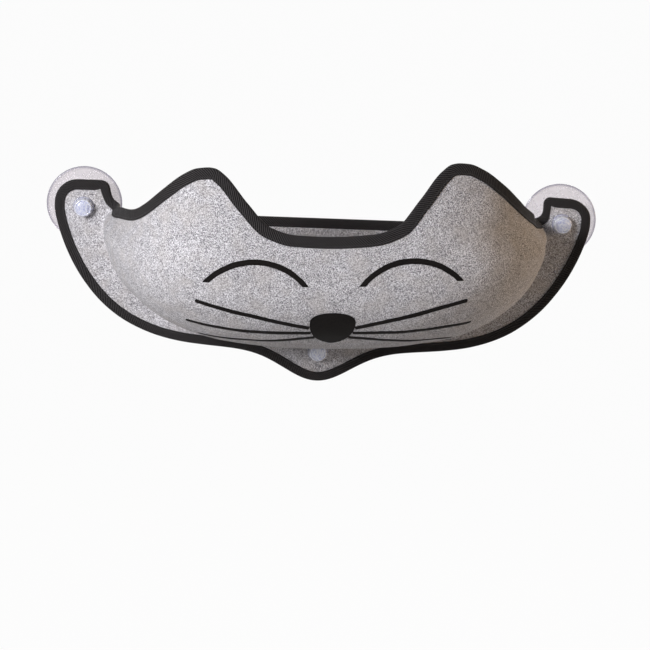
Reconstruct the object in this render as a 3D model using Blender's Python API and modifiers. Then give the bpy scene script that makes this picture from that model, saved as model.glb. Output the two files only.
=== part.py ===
"""Cat window bed: a moulded felt pod shaped like a cat's head, hung on a pane by three suction cups.

The pane is the plane y = 0 and the bed stands out from it towards -Y. X = 0 is the middle plane,
and z = 0 is the height of the two upper suction cups, called the mouth line below. Depth always
means the distance out from the pane, so y = -depth. Each form is worked out for the right half
and mirrored, and the pod is then turned a little about Y towards its front, as it hangs.
"""
from math import pi, sin, cos, radians

import bmesh
import bpy
import numpy as np

# Pod: the felt bowl that stands out from the flange
pod_half_width = 0.281
pod_drop = 0.155
pod_depth = 0.250
pod_width_power = 2.8
pod_drop_power = 2.15
pod_corner_power = 1.5
pod_depth_power = 2.1
rim_draw_in = 0.019
draw_in_bottom = -0.025
draw_in_height = 0.045
fold_radius = 0.007
hang_twist = 2.5

# Felt, binding tape and the gap kept between touching pieces
felt_thickness = 0.003
tape_thickness = 0.001
tape_width = 0.0125
clearance = 0.0003
chord_room = 0.0002

# Rim: heights of the front sheet's free edge over the mouth line
valley_height = 0.0205
ear_height = 0.1045
ear_spread = 0.146
notch_height = 0.008

# Flange round the pod, with its two upper tabs and its chin
cup_beyond_pod = 0.0243
tab_side = 0.0341
tab_top = 0.0322
tab_inner_radius = 0.015
tab_outer_radius = 0.028
tab_inner_side = 0.030
flange_below_pod = 0.0200
flange_middle_height = -0.0022
flange_side_power = 4.67
flange_drop_power = 1.34
chin_drop = 0.0407
chin_half_width = 0.0604
chin_cup_above_tip = 0.0373

# Suction cup, stud, washer and knob; the chin's cup is smaller and stays behind the chin
cup_radius = 0.048
chin_cup_radius = 0.040
cup_height = 0.018
cup_lip = 0.0012
cup_neck_radius = 0.012
cup_pocket_radius = 0.029
chin_cup_pocket_radius = 0.023
cup_pocket_depth = 0.003
stud_radius = 0.0040
stud_foot_radius = 0.0065
stud_foot_thickness = 0.0044
stud_neck_length = 0.0040
stud_grip = 0.0080
felt_hole_play = 0.0002
washer_radius = 0.0130
washer_thickness = 0.0015
knob_radius = 0.0120
knob_top_radius = 0.0105
knob_height = 0.0105
knob_bore_spare = 0.0006
knob_scallops = 12
knob_scallop_depth = 0.0006

# Printed face
print_thickness = 0.0004
eye_radius = 0.075
eye_half_spread = 0.0575
eye_middle_x = 0.0915
eye_top_height = -0.0050
eye_stroke = 0.0063
eye_end_stroke = 0.0052
eye_tilt = 2.0
nose_half_width = 0.027
nose_top = -0.071
nose_height = 0.0475
whisker_stroke = 0.0052
whisker_tip_stroke = 0.0038
whisker_gap = 0.0012

# Back panel
back_top = -0.006
back_step = 0.0010

# Everything below is worked out from the sizes above
cup_x = pod_half_width + cup_beyond_pod
chin_z = -(pod_drop + flange_below_pod + chin_drop) + chin_cup_above_tip
cup_places = {"left": (-cup_x, 0.0), "right": (cup_x, 0.0), "chin": (0.0, chin_z)}
back_face = cup_height + clearance
flange_face = back_face + 2 * felt_thickness + clearance
washer_face = flange_face + clearance
knob_face = washer_face + washer_thickness + clearance
stud_tip = knob_face + stud_grip
tape_reach = clearance + tape_thickness
bore_radius = stud_radius + clearance

# Counts of facets
RING_SPANS = (3, 13, 8, 6)
FAN_COUNT = 28
RIM_ROWS = 4
FOLD_ROWS = 3
FLANGE_ROWS = 4
TAB_STATIONS = 12
ROUND_STEPS = 28

FELT = ("felt", (0.46, 0.45, 0.47, 1.0), 0.95)
TAPE = ("binding_tape", (0.022, 0.022, 0.022, 1.0), 0.85)
PRINT = ("face_print", (0.012, 0.011, 0.011, 1.0), 0.6)
CLEAR = ("clear_vinyl", (0.74, 0.71, 0.74, 1.0), 0.15)
KNOB = ("clear_plastic", (0.70, 0.74, 0.86, 1.0), 0.2)


def new_collection(name):
    collection = bpy.data.collections.new(name)
    bpy.context.scene.collection.children.link(collection)
    return collection


def clear_scene():
    for old in list(bpy.data.objects):
        bpy.data.objects.remove(old, do_unlink=True)


def material(spec):
    name, color, roughness = spec
    found = bpy.data.materials.get(name)
    if found:
        return found
    made = bpy.data.materials.new(name)
    made.use_nodes = True
    shader = made.node_tree.nodes["Principled BSDF"]
    shader.inputs["Base Color"].default_value = color
    shader.inputs["Roughness"].default_value = roughness
    shader.inputs["Metallic"].default_value = 0.0
    return made


def add_object(name, mesh, spec):
    made = bpy.data.objects.new(name, mesh)
    bed.objects.link(made)
    mesh.materials.append(material(spec))
    return made


def smooth_step(t):
    t = np.clip(t, 0.0, 1.0)
    return t * t * (3.0 - 2.0 * t)


def distance_along(x, y):
    return np.concatenate([[0.0], np.cumsum(np.hypot(np.diff(x), np.diff(y)))])


def smooth_through(xs, ys, x):
    """Cubic curve through points that never overshoots between them."""
    xs, ys = np.asarray(xs, float), np.asarray(ys, float)
    gaps, slopes = np.diff(xs), np.diff(ys) / np.diff(xs)
    ends = np.zeros(len(xs))
    same_way = slopes[:-1] * slopes[1:] > 0
    weights_a, weights_b = 2 * gaps[1:] + gaps[:-1], gaps[1:] + 2 * gaps[:-1]
    safe_a, safe_b = np.where(same_way, slopes[:-1], 1.0), np.where(same_way, slopes[1:], 1.0)
    mean = (weights_a + weights_b) / (weights_a / safe_a + weights_b / safe_b)
    ends[1:-1] = np.where(same_way, mean, 0.0)
    i = np.clip(np.searchsorted(xs, x, side="right") - 1, 0, len(gaps) - 1)
    t = (x - xs[i]) / gaps[i]
    return ((1 + 2 * t) * (1 - t) ** 2 * ys[i] + t * (1 - t) ** 2 * gaps[i] * ends[i]
            + t * t * (3 - 2 * t) * ys[i + 1] + t * t * (t - 1) * gaps[i] * ends[i + 1])


# The pod's outer face

def side(z):
    """Half width of the pod at height z: the free rim is drawn in a little."""
    return pod_half_width - rim_draw_in * smooth_step((z - draw_in_bottom) / draw_in_height)


def pod_depth_at(x, z):
    """Depth of the outer face over the point (x, z), as a full-cornered superellipsoid."""
    drop = np.clip(-np.asarray(z) / pod_drop, 0.0, None)
    spread = np.abs(x) / side(np.asarray(z))
    share = (spread ** pod_width_power + drop ** pod_drop_power) ** pod_corner_power
    return flange_face + pod_depth * np.clip(1.0 - share, 0.0, None) ** (1 / pod_depth_power)


# Angle from the front (0) towards the flange at which the pod's wall meets the fold
fold_angle = np.arccos((fold_radius / pod_depth) ** (pod_depth_power / 2))


def wall_point(theta, z):
    """Point of the outer face at height z, for theta from 0 at the front to fold_angle."""
    drop = np.clip(-z / pod_drop, 0.0, 1.0)
    least = drop ** (pod_drop_power * pod_corner_power)
    share = least + (1 - least) * np.sin(theta) ** 2
    spread = np.clip(share ** (1 / pod_corner_power) - drop ** pod_drop_power, 0.0, None)
    x = side(z) * spread ** (1 / pod_width_power)
    return x, flange_face + pod_depth * (1 - share) ** (1 / pod_depth_power)


def ring_angles():
    """Angles of the pod's rings, close together round the ears, and their distances along the rim."""
    fine = np.linspace(0.0, 1.0, 4001) ** 2 * fold_angle
    x, depth = wall_point(fine, np.zeros_like(fine) + draw_in_bottom + draw_in_height)
    run = distance_along(x, depth)
    ear_start, ear_end = ear_spread * 0.31, ear_spread * 1.27
    knots = [0.0, ear_start, ear_end, ear_end * 0.525 + run[-1] * 0.475, run[-1]]
    ends = np.cumsum([0, *RING_SPANS])
    stations = np.interp(np.arange(ends[-1] + 1), ends, knots)
    return np.interp(stations, run, fine), stations, fine, run


theta_rings, rim_stations, theta_fine, run_fine = ring_angles()
rim_length = run_fine[-1]


def rim_height(station):
    """Height of the felt's free edge, by distance along the rim from the middle of the valley."""
    station = np.asarray(station, float)
    inner = smooth_through([0.0, 0.32, 0.52, 0.70, 0.87, 0.955, 1.0],
                           [0.0, 0.03, 0.15, 0.51, 0.89, 0.99, 1.0], station / ear_spread)
    outer = smooth_through([0.0, 0.05, 0.12, 0.22, 0.37, 0.47, 0.56, 0.69, 0.84, 1.0],
                           [1.0, 0.985, 0.90, 0.71, 0.43, 0.30, 0.235, 0.165, 0.075, 0.0],
                           (station - ear_spread) / (rim_length - ear_spread))
    return np.where(station < ear_spread, valley_height + (ear_height - valley_height) * inner,
                    notch_height + (ear_height - notch_height) * outer)


def fold_point(x, z, normal_x, normal_z, turn):
    """Point on the rounded fold from the wall (turn 0) out to the flange (turn pi / 2)."""
    out = fold_radius * (1 - np.cos(turn))
    return x + normal_x * out, flange_face + fold_radius * (1 - np.sin(turn)), z + normal_z * out


# Flange outline: from the inner corner of the right tab, round the tab, down the side to the chin

flange_half_width = cup_x + tab_side
flange_drop = pod_drop + flange_below_pod + flange_middle_height


def flange_side_x(z):
    """Half width of the flange below the tab."""
    down = np.clip((flange_middle_height - z) / flange_drop, 0.0, 1.0)
    return flange_half_width * (1 - down ** flange_drop_power) ** (1 / flange_side_power)


def arc(middle_x, middle_z, radius, start, end, count):
    angles = np.radians(np.linspace(start, end, count))
    return np.stack([middle_x + radius * np.cos(angles), middle_z + radius * np.sin(angles)], 1)


def tab_outline():
    """The tab's top with its two rounded corners."""
    inner = arc(cup_x - tab_inner_side + tab_inner_radius, tab_top - tab_inner_radius,
                tab_inner_radius, 165, 92, 5)
    corner_z = tab_top - tab_outer_radius
    outer = arc(flange_side_x(corner_z) - tab_outer_radius, corner_z, tab_outer_radius, 88, 0, 7)
    return np.concatenate([inner, outer])


def lower_outline(count):
    """The side and the bottom down to the tip of the chin, in closer points where they bend."""
    angle = pi / 2 * (1 - (1 - np.linspace(0.0, 1.0, 2001)) ** 2)
    start = tab_top - tab_outer_radius
    z = start - (start + pod_drop + flange_below_pod) * np.sin(angle) ** 1.4
    x = flange_side_x(z)
    x[-1] = 0.0
    z = z - chin_drop * np.exp(-(x / chin_half_width) ** 2)
    run = distance_along(x, z)
    bend = np.abs(np.gradient(np.unwrap(np.arctan2(np.gradient(z), np.gradient(x)))))
    bend = np.cumsum(bend)
    weight = run / run[-1] + bend / bend[-1]
    at = np.interp(np.linspace(0.0, weight[-1], count + 1)[1:], weight, run)
    return np.stack([np.interp(at, run, x), np.interp(at, run, z)], 1)


def pod_foot():
    """Where the pod's wall ends at the fold, from the right notch down to the middle of the bottom."""
    rise = rim_shares()[::-1] * notch_height
    x, _ = wall_point(np.full_like(rise, fold_angle), rise)
    upper = np.stack([x, rise, np.ones_like(x), np.zeros_like(x)], 1)
    turns = fan_turns()[1:]
    x, _, z = pod_point(np.full_like(turns, fold_angle), turns)
    spread = np.clip(x / side(z), 0.0, 1.0)
    drop = np.clip(-z / pod_drop, 0.0, 1.0)
    normal_x = pod_width_power * spread ** (pod_width_power - 1) / pod_half_width
    normal_z = -pod_drop_power * drop ** (pod_drop_power - 1) / pod_drop
    size = np.hypot(normal_x, normal_z)
    lower = np.stack([x, z, normal_x / size, normal_z / size], 1)
    return np.concatenate([upper, lower])


def rim_shares():
    """Rows of the upper strip, closer near the mouth line where the pod is drawn in."""
    return np.linspace(0.0, 1.0, RIM_ROWS + 1) ** 1.2


def fan_turns():
    """Turns about the front's middle, from level (0) to straight down, closer near the tabs."""
    turn = pi / 2 * (1 - (1 - np.linspace(0.0, 1.0, 4001)) ** 1.4)
    x, _, z = pod_point(np.full_like(turn, fold_angle), turn)
    run = distance_along(x, z)
    return np.interp(run[-1] * np.linspace(0.0, 1.0, FAN_COUNT + 1) ** 1.35, run, turn)


def pod_point(theta, turn):
    """Point of the outer face on the ray at this turn, for theta from the front to the fold."""
    share = np.sin(theta) ** (2 / pod_corner_power)
    spread = (share * np.cos(turn) ** 2) ** (1 / pod_width_power)
    drop = (share * np.sin(turn) ** 2) ** (1 / pod_drop_power)
    z = -pod_drop * drop
    return side(z) * spread, flange_face + pod_depth * np.cos(theta) ** (2 / pod_depth_power), z


# The front sheet as grids of points, all for the right half; x, depth and height in each point

def rim_grid():
    """Upper strip, from the mouth line up to the free edge."""
    z = rim_shares()[None, :] * rim_height(rim_stations)[:, None]
    x, depth = wall_point(np.broadcast_to(theta_rings[:, None], z.shape), z)
    x[0] = 0.0
    return np.stack([x, depth, z], -1)


def bowl_grid():
    """Lower part, in rays from the front's middle out to the fold."""
    theta, turn = np.meshgrid(theta_rings, fan_turns(), indexing="ij")
    x, depth, z = pod_point(theta, turn)
    x[:, -1] = 0.0
    return np.stack([x, depth, z], -1)


def fold_grid():
    foot = pod_foot()
    turn = np.linspace(0.0, pi / 2, FOLD_ROWS + 1)[None, :]
    x, depth, z = fold_point(foot[:, None, 0], foot[:, None, 1], foot[:, None, 2],
                             foot[:, None, 3], turn)
    x[-1] = 0.0
    return np.stack([x, np.broadcast_to(depth, x.shape), z], -1)


def flange_outer_edge():
    count = len(pod_foot())
    tab = tab_outline()
    return np.concatenate([tab, lower_outline(count - len(tab))])


def tab_inner_edge(start, end):
    """The tab's inner side, from the top of the fold up to the tab's corner, as a rounded notch."""
    w = np.linspace(0.0, 1.0, FLANGE_ROWS + 1)
    along_x = smooth_through([0.0, 0.2, 0.5, 1.0], [0.0, 0.42, 0.73, 1.0], w)
    along_z = smooth_through([0.0, 0.2, 0.5, 1.0], [0.0, 0.06, 0.40, 1.0], w)
    return np.stack([start[0] + (end[0] - start[0]) * along_x,
                     start[1] + (end[1] - start[1]) * along_z], 1)


def flange_grid():
    """Flat strip from the fold out to the outline; its first column is the notch side of the tab."""
    inner = fold_grid()[:, -1][:, [0, 2]]
    outer = flange_outer_edge()
    w = np.linspace(0.0, 1.0, FLANGE_ROWS + 1)[None, :, None]
    flat = inner[:, None] * (1 - w) + outer[:, None] * w
    bend = tab_inner_edge(inner[0], outer[0]) - flat[0]
    fade = np.clip(1 - np.arange(len(inner)) / TAB_STATIONS, 0.0, 1.0)[:, None, None] ** 2
    flat = flat + bend[None] * fade
    flat[-1, :, 0] = 0.0
    return np.stack([flat[..., 0], np.full(flat.shape[:2], flange_face), flat[..., 1]], -1)


def hung(points):
    """Places of (x, depth, z) points as the pod hangs, turned about Y by up to hang_twist degrees."""
    share = np.clip((points[..., 1] - flange_face) / pod_depth, 0.0, 1.0)
    angle = radians(hang_twist) * share
    return np.stack([points[..., 0] * np.cos(angle) - points[..., 2] * np.sin(angle),
                     -points[..., 1],
                     points[..., 0] * np.sin(angle) + points[..., 2] * np.cos(angle)], -1)


def grid_mesh(name, grids):
    """Mesh of point grids, each given with whether its faces are turned, welded where they meet."""
    work = bmesh.new()
    for points, turned in grids:
        rows, columns = points.shape[:2]
        verts = [work.verts.new(p) for p in hung(points).reshape(-1, 3)]
        for i in range(rows - 1):
            for j in range(columns - 1):
                a, b = i * columns + j, (i + 1) * columns + j
                corners = (verts[a], verts[a + 1], verts[b + 1], verts[b])
                work.faces.new(corners[::-1] if turned else corners)
    bmesh.ops.remove_doubles(work, verts=work.verts, dist=2e-6)
    bmesh.ops.dissolve_degenerate(work, dist=1e-6, edges=work.edges)
    made = bpy.data.meshes.new(name)
    work.to_mesh(made)
    work.free()
    return made


def mirror_x(points):
    return points * np.array([-1.0, 1.0, 1.0])


def both_sides(points, turned):
    return [(points, turned), (mirror_x(points), not turned)]


def add_solidify(target, thickness, side_offset):
    wall = target.modifiers.new("wall", "SOLIDIFY")
    wall.thickness = thickness
    wall.offset = side_offset
    wall.use_even_offset = True
    return wall


def cut(target, cutter):
    hole = target.modifiers.new("hole", "BOOLEAN")
    hole.operation = "DIFFERENCE"
    hole.object = cutter
    hole.solver = "EXACT"


def stud_hole_cutters():
    """One round cutter for each stud, through both felt sheets."""
    made = []
    length = 4 * felt_thickness
    for name, (x, z) in cup_places.items():
        bpy.ops.mesh.primitive_cylinder_add(vertices=24, radius=bore_radius + felt_hole_play,
                                            depth=length, rotation=(pi / 2, 0, 0),
                                            location=(x, -flange_face + felt_thickness, z))
        cutter = bpy.context.object
        cutter.name = "cutter_stud_" + name
        for old in list(cutter.users_collection):
            old.objects.unlink(cutter)
        cutters.objects.link(cutter)
        cutter.hide_render = True
        cutter.display_type = "WIRE"
        made.append(cutter)
    return made


# Felt sheets

def make_front_shell(holes):
    grids = (both_sides(rim_grid(), True) + both_sides(bowl_grid(), False)
             + both_sides(fold_grid(), True) + both_sides(flange_grid(), True))
    mesh = grid_mesh("front_shell", grids)
    shell = add_object("front_shell", mesh, FELT)
    add_solidify(shell, felt_thickness, -1.0)
    for hole in holes:
        cut(shell, hole)
    return shell


def right_sheet_edge():
    """Free edge of the flange in its plane, from the fold's top round the tab to the chin's tip."""
    flange = flange_grid()
    return np.concatenate([flange[0, :-1], flange[:, -1]])[:, [0, 2]]


def back_outline():
    """The flange's outline, closed across by the straight top edge behind the pod.

    Next to each notch the panel steps back from the fold, which leaves room for the rim's tape.
    """
    edge = right_sheet_edge()
    step_x = edge[0, 0] + back_step
    step_top = np.interp(step_x, edge[:3, 0], edge[:3, 1])
    low_x = wall_point(fold_angle, np.array([back_top]))[0][0] + fold_radius + back_step
    right = np.concatenate([[[low_x, back_top], [step_x, step_top]], edge[1:]])
    left = (right * [-1, 1])[::-1][1:]
    return np.concatenate([right, left])


def make_back_panel(holes):
    """A flat 2D curve, made solid and then a mesh, because it is cut for the studs."""
    outline = back_outline()
    curve = bpy.data.curves.new("back_panel_outline", "CURVE")
    curve.dimensions = "2D"
    curve.fill_mode = "BOTH"
    curve.extrude = felt_thickness / 2
    spline = curve.splines.new("POLY")
    spline.points.add(len(outline) - 1)
    for point, (x, z) in zip(spline.points, outline):
        point.co = (x, z, 0.0, 1.0)
    spline.use_cyclic_u = True
    flat = bpy.data.objects.new("back_panel_curve", curve)
    bed.objects.link(flat)
    flat.rotation_euler = (pi / 2, 0, 0)
    flat.location = (0, -(back_face + felt_thickness / 2), 0)
    bpy.context.view_layer.update()
    evaluated = flat.evaluated_get(bpy.context.evaluated_depsgraph_get())
    mesh = bpy.data.meshes.new_from_object(evaluated)
    mesh.name = "back_panel"
    work = bmesh.new()
    work.from_mesh(mesh)
    bmesh.ops.remove_doubles(work, verts=work.verts, dist=1e-6)
    work.to_mesh(mesh)
    work.free()
    mesh.materials.clear()
    panel = add_object("back_panel", mesh, FELT)
    panel.matrix_world = flat.matrix_world.copy()
    bpy.data.objects.remove(flat, do_unlink=True)
    for hole in holes:
        cut(panel, hole)
    return panel


# Binding tape: a folded strip round an edge, as a U-shaped section carried along it

def tape_mesh(name, rows):
    """Closed tube from rows of section points, capped at both ends."""
    work = bmesh.new()
    rings = [[work.verts.new(p) for p in row] for row in hung(np.array(rows))]
    count = len(rings[0])
    for one, two in zip(rings, rings[1:]):
        for j in range(count):
            k = (j + 1) % count
            work.faces.new((one[j], one[k], two[k], two[j]))
    legs = count // 2
    for ring, turned in ((rings[0], False), (rings[-1], True)):
        for j in range(legs - 1):
            corners = (ring[j], ring[count - 1 - j], ring[count - 2 - j], ring[j + 1])
            work.faces.new(corners if turned else corners[::-1])
    bmesh.ops.recalc_face_normals(work, faces=work.faces)
    made = bpy.data.meshes.new(name)
    work.to_mesh(made)
    work.free()
    return made


def square_to(path):
    """Unit directions to the left of a flat path, square to it at each of its points."""
    ahead = np.gradient(path, axis=0)
    ahead /= np.linalg.norm(ahead, axis=1, keepdims=True)
    return np.stack([-ahead[:, 1], ahead[:, 0]], 1)


def flat_tape_rows(path, inward, thickness, front_depth):
    """Sections round an edge in a plane of constant depth; the sheet lies on the inward side."""
    back_depth = front_depth - thickness
    leg = tape_width - tape_reach
    outer = [(leg, front_depth + tape_reach), (-tape_reach, front_depth + tape_reach),
             (-tape_reach, back_depth - tape_reach), (leg, back_depth - tape_reach)]
    inner = [(leg, back_depth - clearance), (-clearance, back_depth - clearance),
             (-clearance, front_depth + clearance), (leg, front_depth + clearance)]
    rows = []
    for place, way in zip(path, inward):
        rows.append([(place[0] + way[0] * b, depth, place[1] + way[1] * b)
                     for b, depth in outer + inner])
    return rows


def flange_path():
    """The whole free edge of the flange, counter-clockwise as the viewer sees it: left to right."""
    right = right_sheet_edge()[::-1]
    left = (right_sheet_edge() * [-1, 1])[:-1]
    return np.concatenate([left, right])


def make_perimeter_binding():
    """Tape over both sheets; its ends lean with the fold, beside the ends of the rim's tape."""
    path = flange_path()
    path[0, 0] -= clearance
    path[-1, 0] += clearance
    inward = square_to(path)
    low = notch_height - tape_width + tape_reach
    lean, _ = wall_point(fold_angle, np.array([low, notch_height]))
    end_way = np.array([lean[0] - lean[1], low - notch_height])
    end_way /= tape_width - tape_reach
    inward[0], inward[-1] = end_way * [-1, 1], end_way
    rows = flat_tape_rows(path, inward, 2 * felt_thickness + clearance, flange_face)
    return add_object("perimeter_binding", tape_mesh("perimeter_binding", rows), TAPE)


def make_back_binding():
    reach = fold_grid()[0, -1, 0] - fold_radius - felt_thickness + tape_thickness
    xs = np.linspace(-reach, reach, 9)[::-1]
    path = np.stack([xs, np.full_like(xs, back_top)], 1)
    rows = flat_tape_rows(path, square_to(path), felt_thickness, back_face + felt_thickness)
    return add_object("back_binding", tape_mesh("back_binding", rows), TAPE)


def rim_place(run, z):
    """Point of the front sheet's outer face, by distance along the rim and height.

    Past the wall's end the run goes round the fold and out on the flange.
    """
    theta = np.interp(run, run_fine, theta_fine)
    x, depth = wall_point(theta, z)
    turn = np.clip((run - rim_length) / fold_radius, 0.0, pi / 2)
    out = fold_radius * (1 - np.cos(turn))
    beyond = np.clip(run - rim_length - fold_radius * pi / 2, 0.0, None)
    depth = np.where(run > rim_length, flange_face + fold_radius * (1 - np.sin(turn)), depth)
    return np.stack([x + out + beyond, depth, np.broadcast_to(z, x.shape)], -1)


def rim_normal(run, z):
    step = 1e-4
    along = rim_place(run + step, z) - rim_place(np.abs(run - step), z)
    along[..., 0] = np.where(run < step, 2 * step, along[..., 0])
    up = rim_place(run, z + step) - rim_place(run, z - step)
    normal = np.cross(up, along)
    normal /= np.linalg.norm(normal, axis=-1, keepdims=True)
    return normal * np.where(normal[..., 1:2] < 0, -1.0, 1.0)


def rim_path():
    """Stations of the front sheet's free edge: distance along the rim and height."""
    turns = np.linspace(0.0, pi / 2, FOLD_ROWS + 1)[1:] * fold_radius
    run = np.concatenate([rim_stations, rim_length + turns])
    height = np.concatenate([rim_height(rim_stations), np.full(len(turns), notch_height)])
    return run, height


def make_rim_binding():
    """Tape over the single front sheet, following the pod's curved face across its whole width.

    It stands off by chord_room more than the clearance, for the facets of both pieces.
    """
    run, height = rim_path()
    whole = np.concatenate([-run[::-1], run[1:]])
    z = np.concatenate([height[::-1], height[1:]])
    ahead = np.stack([np.gradient(whole), np.gradient(z)], 1)
    ahead /= np.linalg.norm(ahead, axis=1, keepdims=True)
    leg = tape_width - tape_reach
    spots = [leg, leg * 0.62, leg * 0.28, -clearance, -tape_reach]
    front, back = clearance + chord_room, -felt_thickness - clearance - chord_room
    outer = [(b, front + tape_thickness) for b in (spots[0], spots[1], spots[2], spots[4])]
    outer += [(b, back - tape_thickness) for b in (spots[4], spots[2], spots[1], spots[0])]
    inner = [(b, back) for b in spots[:4]] + [(b, front) for b in spots[3::-1]]
    columns = []
    for b, lift in outer + inner:
        at_run = whole + ahead[:, 1] * b
        at_z = z - ahead[:, 0] * b
        place = rim_place(np.abs(at_run), at_z)
        normal = rim_normal(np.abs(at_run), at_z)
        flip = np.where(at_run < 0, -1.0, 1.0)[:, None] * [1, 0, 0] + [0, 1, 1]
        columns.append((place + normal * lift) * flip)
    rows = np.stack(columns, 1)
    return add_object("rim_binding", tape_mesh("rim_binding", rows), TAPE)


# Printed face: thin patches that follow the pod's outer face

def face_point(x, z):
    """Point just over the outer face, and the face's outward normal, as (x, depth, z)."""
    step = 1e-4
    depth = pod_depth_at(x, z)
    slope_x = (pod_depth_at(x + step, z) - pod_depth_at(x - step, z)) / (2 * step)
    slope_z = (pod_depth_at(x, z + step) - pod_depth_at(x, z - step)) / (2 * step)
    normal = np.stack([-slope_x, np.ones_like(slope_x), -slope_z], -1)
    normal /= np.linalg.norm(normal, axis=-1, keepdims=True)
    return np.stack([x, depth, z], -1), normal


def print_patch(name, x, z):
    """A grid of (x, z) points laid on the pod and given the print's thickness."""
    place, normal = face_point(x, z)
    mesh = grid_mesh(name, [(place + normal * clearance, False)])
    work = bmesh.new()
    work.from_mesh(mesh)
    bmesh.ops.recalc_face_normals(work, faces=work.faces)
    if sum(face.normal.y * face.calc_area() for face in work.faces) > 0:
        bmesh.ops.reverse_faces(work, faces=work.faces)
    work.to_mesh(mesh)
    work.free()
    patch = add_object(name, mesh, PRINT)
    add_solidify(patch, print_thickness, 1.0)
    return patch


def stroke(name, x, z, widths, end_directions=None):
    """A drawn line of the given widths, square to its middle line as measured on the pod."""
    place, normal = face_point(x, z)
    ahead = np.gradient(place, axis=0)
    across = np.cross(normal, ahead)
    across /= np.linalg.norm(across, axis=1, keepdims=True)
    offsets = np.linspace(-0.5, 0.5, 3)
    reach = across[:, None] * (widths[:, None] * offsets)[..., None]
    if end_directions is not None:
        for end, way in ((0, end_directions[0]), (-1, end_directions[1])):
            reach[end] = np.array([way[0], 0.0, way[1]]) * (widths[end] * offsets)[:, None]
    return print_patch(name, x[:, None] + reach[..., 0], z[:, None] + reach[..., 2])


def make_eyes():
    """Two closed eyes, each an arc with its ends cut level and its outer end tilted up."""
    share = np.linspace(-1.0, 1.0, 19)
    turn = share * np.arcsin(eye_half_spread / eye_radius)
    along, fall = eye_radius * np.sin(turn), eye_radius * (1.0 - np.cos(turn))
    widths = eye_stroke + (eye_end_stroke - eye_stroke) * share ** 2
    level = np.array([eye_radius / eye_half_spread, 0.0])
    for name, way in (("left_eye", -1.0), ("right_eye", 1.0)):
        tilt = radians(eye_tilt) * way
        x = way * eye_middle_x + along * np.cos(tilt) + fall * np.sin(tilt)
        z = eye_top_height - eye_stroke / 2 + along * np.sin(tilt) - fall * np.cos(tilt)
        stroke(name, x, z, widths, (level, -level))


def nose_half(z_share):
    """Half width of the nose at a share of its height from the top: a rounded wedge."""
    top = np.clip(z_share / 0.30, 0.0, 1.0)
    bottom = np.clip((z_share - 0.30) / 0.70, 0.0, 1.0)
    return nose_half_width * np.sqrt(1 - (1 - top) ** 2.6) * (1 - bottom ** 2.4) ** 0.62


def make_nose():
    share = 0.5 - 0.5 * np.cos(np.linspace(0.02 * pi, 0.985 * pi, 13))
    across = np.sin(np.linspace(-pi / 2, pi / 2, 9))
    x = nose_half(share)[:, None] * across[None, :]
    z = np.broadcast_to((nose_top - nose_height * share)[:, None], x.shape)
    print_patch("nose", x, z)


# Each whisker: its height where it leaves the nose, halfway and at the tip, and the tip's x
WHISKERS = {
    "upper": (-0.0930, -0.0765, -0.0595, 0.160),
    "middle": (-0.1010, -0.0990, -0.0920, 0.171),
    "lower": (-0.1085, -0.1160, -0.1165, 0.150),
}


def make_whiskers():
    for level, (root_z, middle_z, tip_z, tip_x) in WHISKERS.items():
        share = (nose_top - root_z) / nose_height
        root_x = nose_half(np.array([share]))[0] + whisker_gap + clearance
        t = np.linspace(0.0, 1.0, 15)
        x = root_x + (tip_x - root_x) * t
        bend = 4 * (middle_z - (root_z + tip_z) / 2)
        z = root_z + (tip_z - root_z) * t + bend * t * (1 - t)
        widths = whisker_stroke + (whisker_tip_stroke - whisker_stroke) * t ** 2
        stroke("left_whisker_" + level, -x, z, widths)
        stroke("right_whisker_" + level, x, z, widths)


# Suction cups and their fastenings, turned about an axis square to the pane

def turned(name, profile, spec, place):
    """Solid of revolution; the profile runs down its outer side, as radius and depth."""
    mesh = bpy.data.meshes.new(name)
    points = [(radius, 0.0, depth) for radius, depth in profile]
    mesh.from_pydata(points, [(i, i + 1) for i in range(len(points) - 1)], [])
    made = add_object(name, mesh, spec)
    screw = made.modifiers.new("turn", "SCREW")
    screw.axis = "Z"
    screw.steps = ROUND_STEPS
    screw.render_steps = ROUND_STEPS
    screw.use_merge_vertices = True
    screw.merge_threshold = 1e-5
    made.rotation_euler = (pi / 2, 0, 0)
    made.location = (place[0], 0.0, place[1])
    return made


def cup_profile(rim_radius, pocket_radius):
    socket_radius = stud_foot_radius + clearance
    socket_top = cup_height - stud_neck_length
    socket_bottom = socket_top - stud_foot_thickness - 2 * clearance
    outer = [(0.0, socket_bottom), (socket_radius, socket_bottom), (socket_radius, socket_top),
             (bore_radius, socket_top), (bore_radius, cup_height), (cup_neck_radius, cup_height)]
    foot = cup_neck_radius
    span = rim_radius - foot
    dome_height = cup_height * 0.62
    shares = np.linspace(0.0, 1.0, 6)
    dome = [(foot + span * t, cup_lip + (dome_height - cup_lip) * (1 - t) ** 2.1) for t in shares]
    glass = [(rim_radius, 0.0), (pocket_radius, 0.0),
             (pocket_radius * 0.85, cup_pocket_depth * 0.6), (0.0, cup_pocket_depth)]
    return outer + dome + glass


def stud_profile():
    foot_top = cup_height - stud_neck_length - clearance
    foot_bottom = foot_top - stud_foot_thickness
    chamfer = stud_radius * 0.2
    return [(0.0, stud_tip), (stud_radius - chamfer, stud_tip), (stud_radius, stud_tip - chamfer),
            (stud_radius, foot_top), (stud_foot_radius, foot_top),
            (stud_foot_radius, foot_bottom), (0.0, foot_bottom)]


def washer_profile():
    edge = washer_thickness * 0.3
    top = washer_face + washer_thickness
    return [(bore_radius, top), (washer_radius - edge, top), (washer_radius, top - edge),
            (washer_radius, washer_face), (bore_radius, washer_face), (bore_radius, top)]


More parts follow.
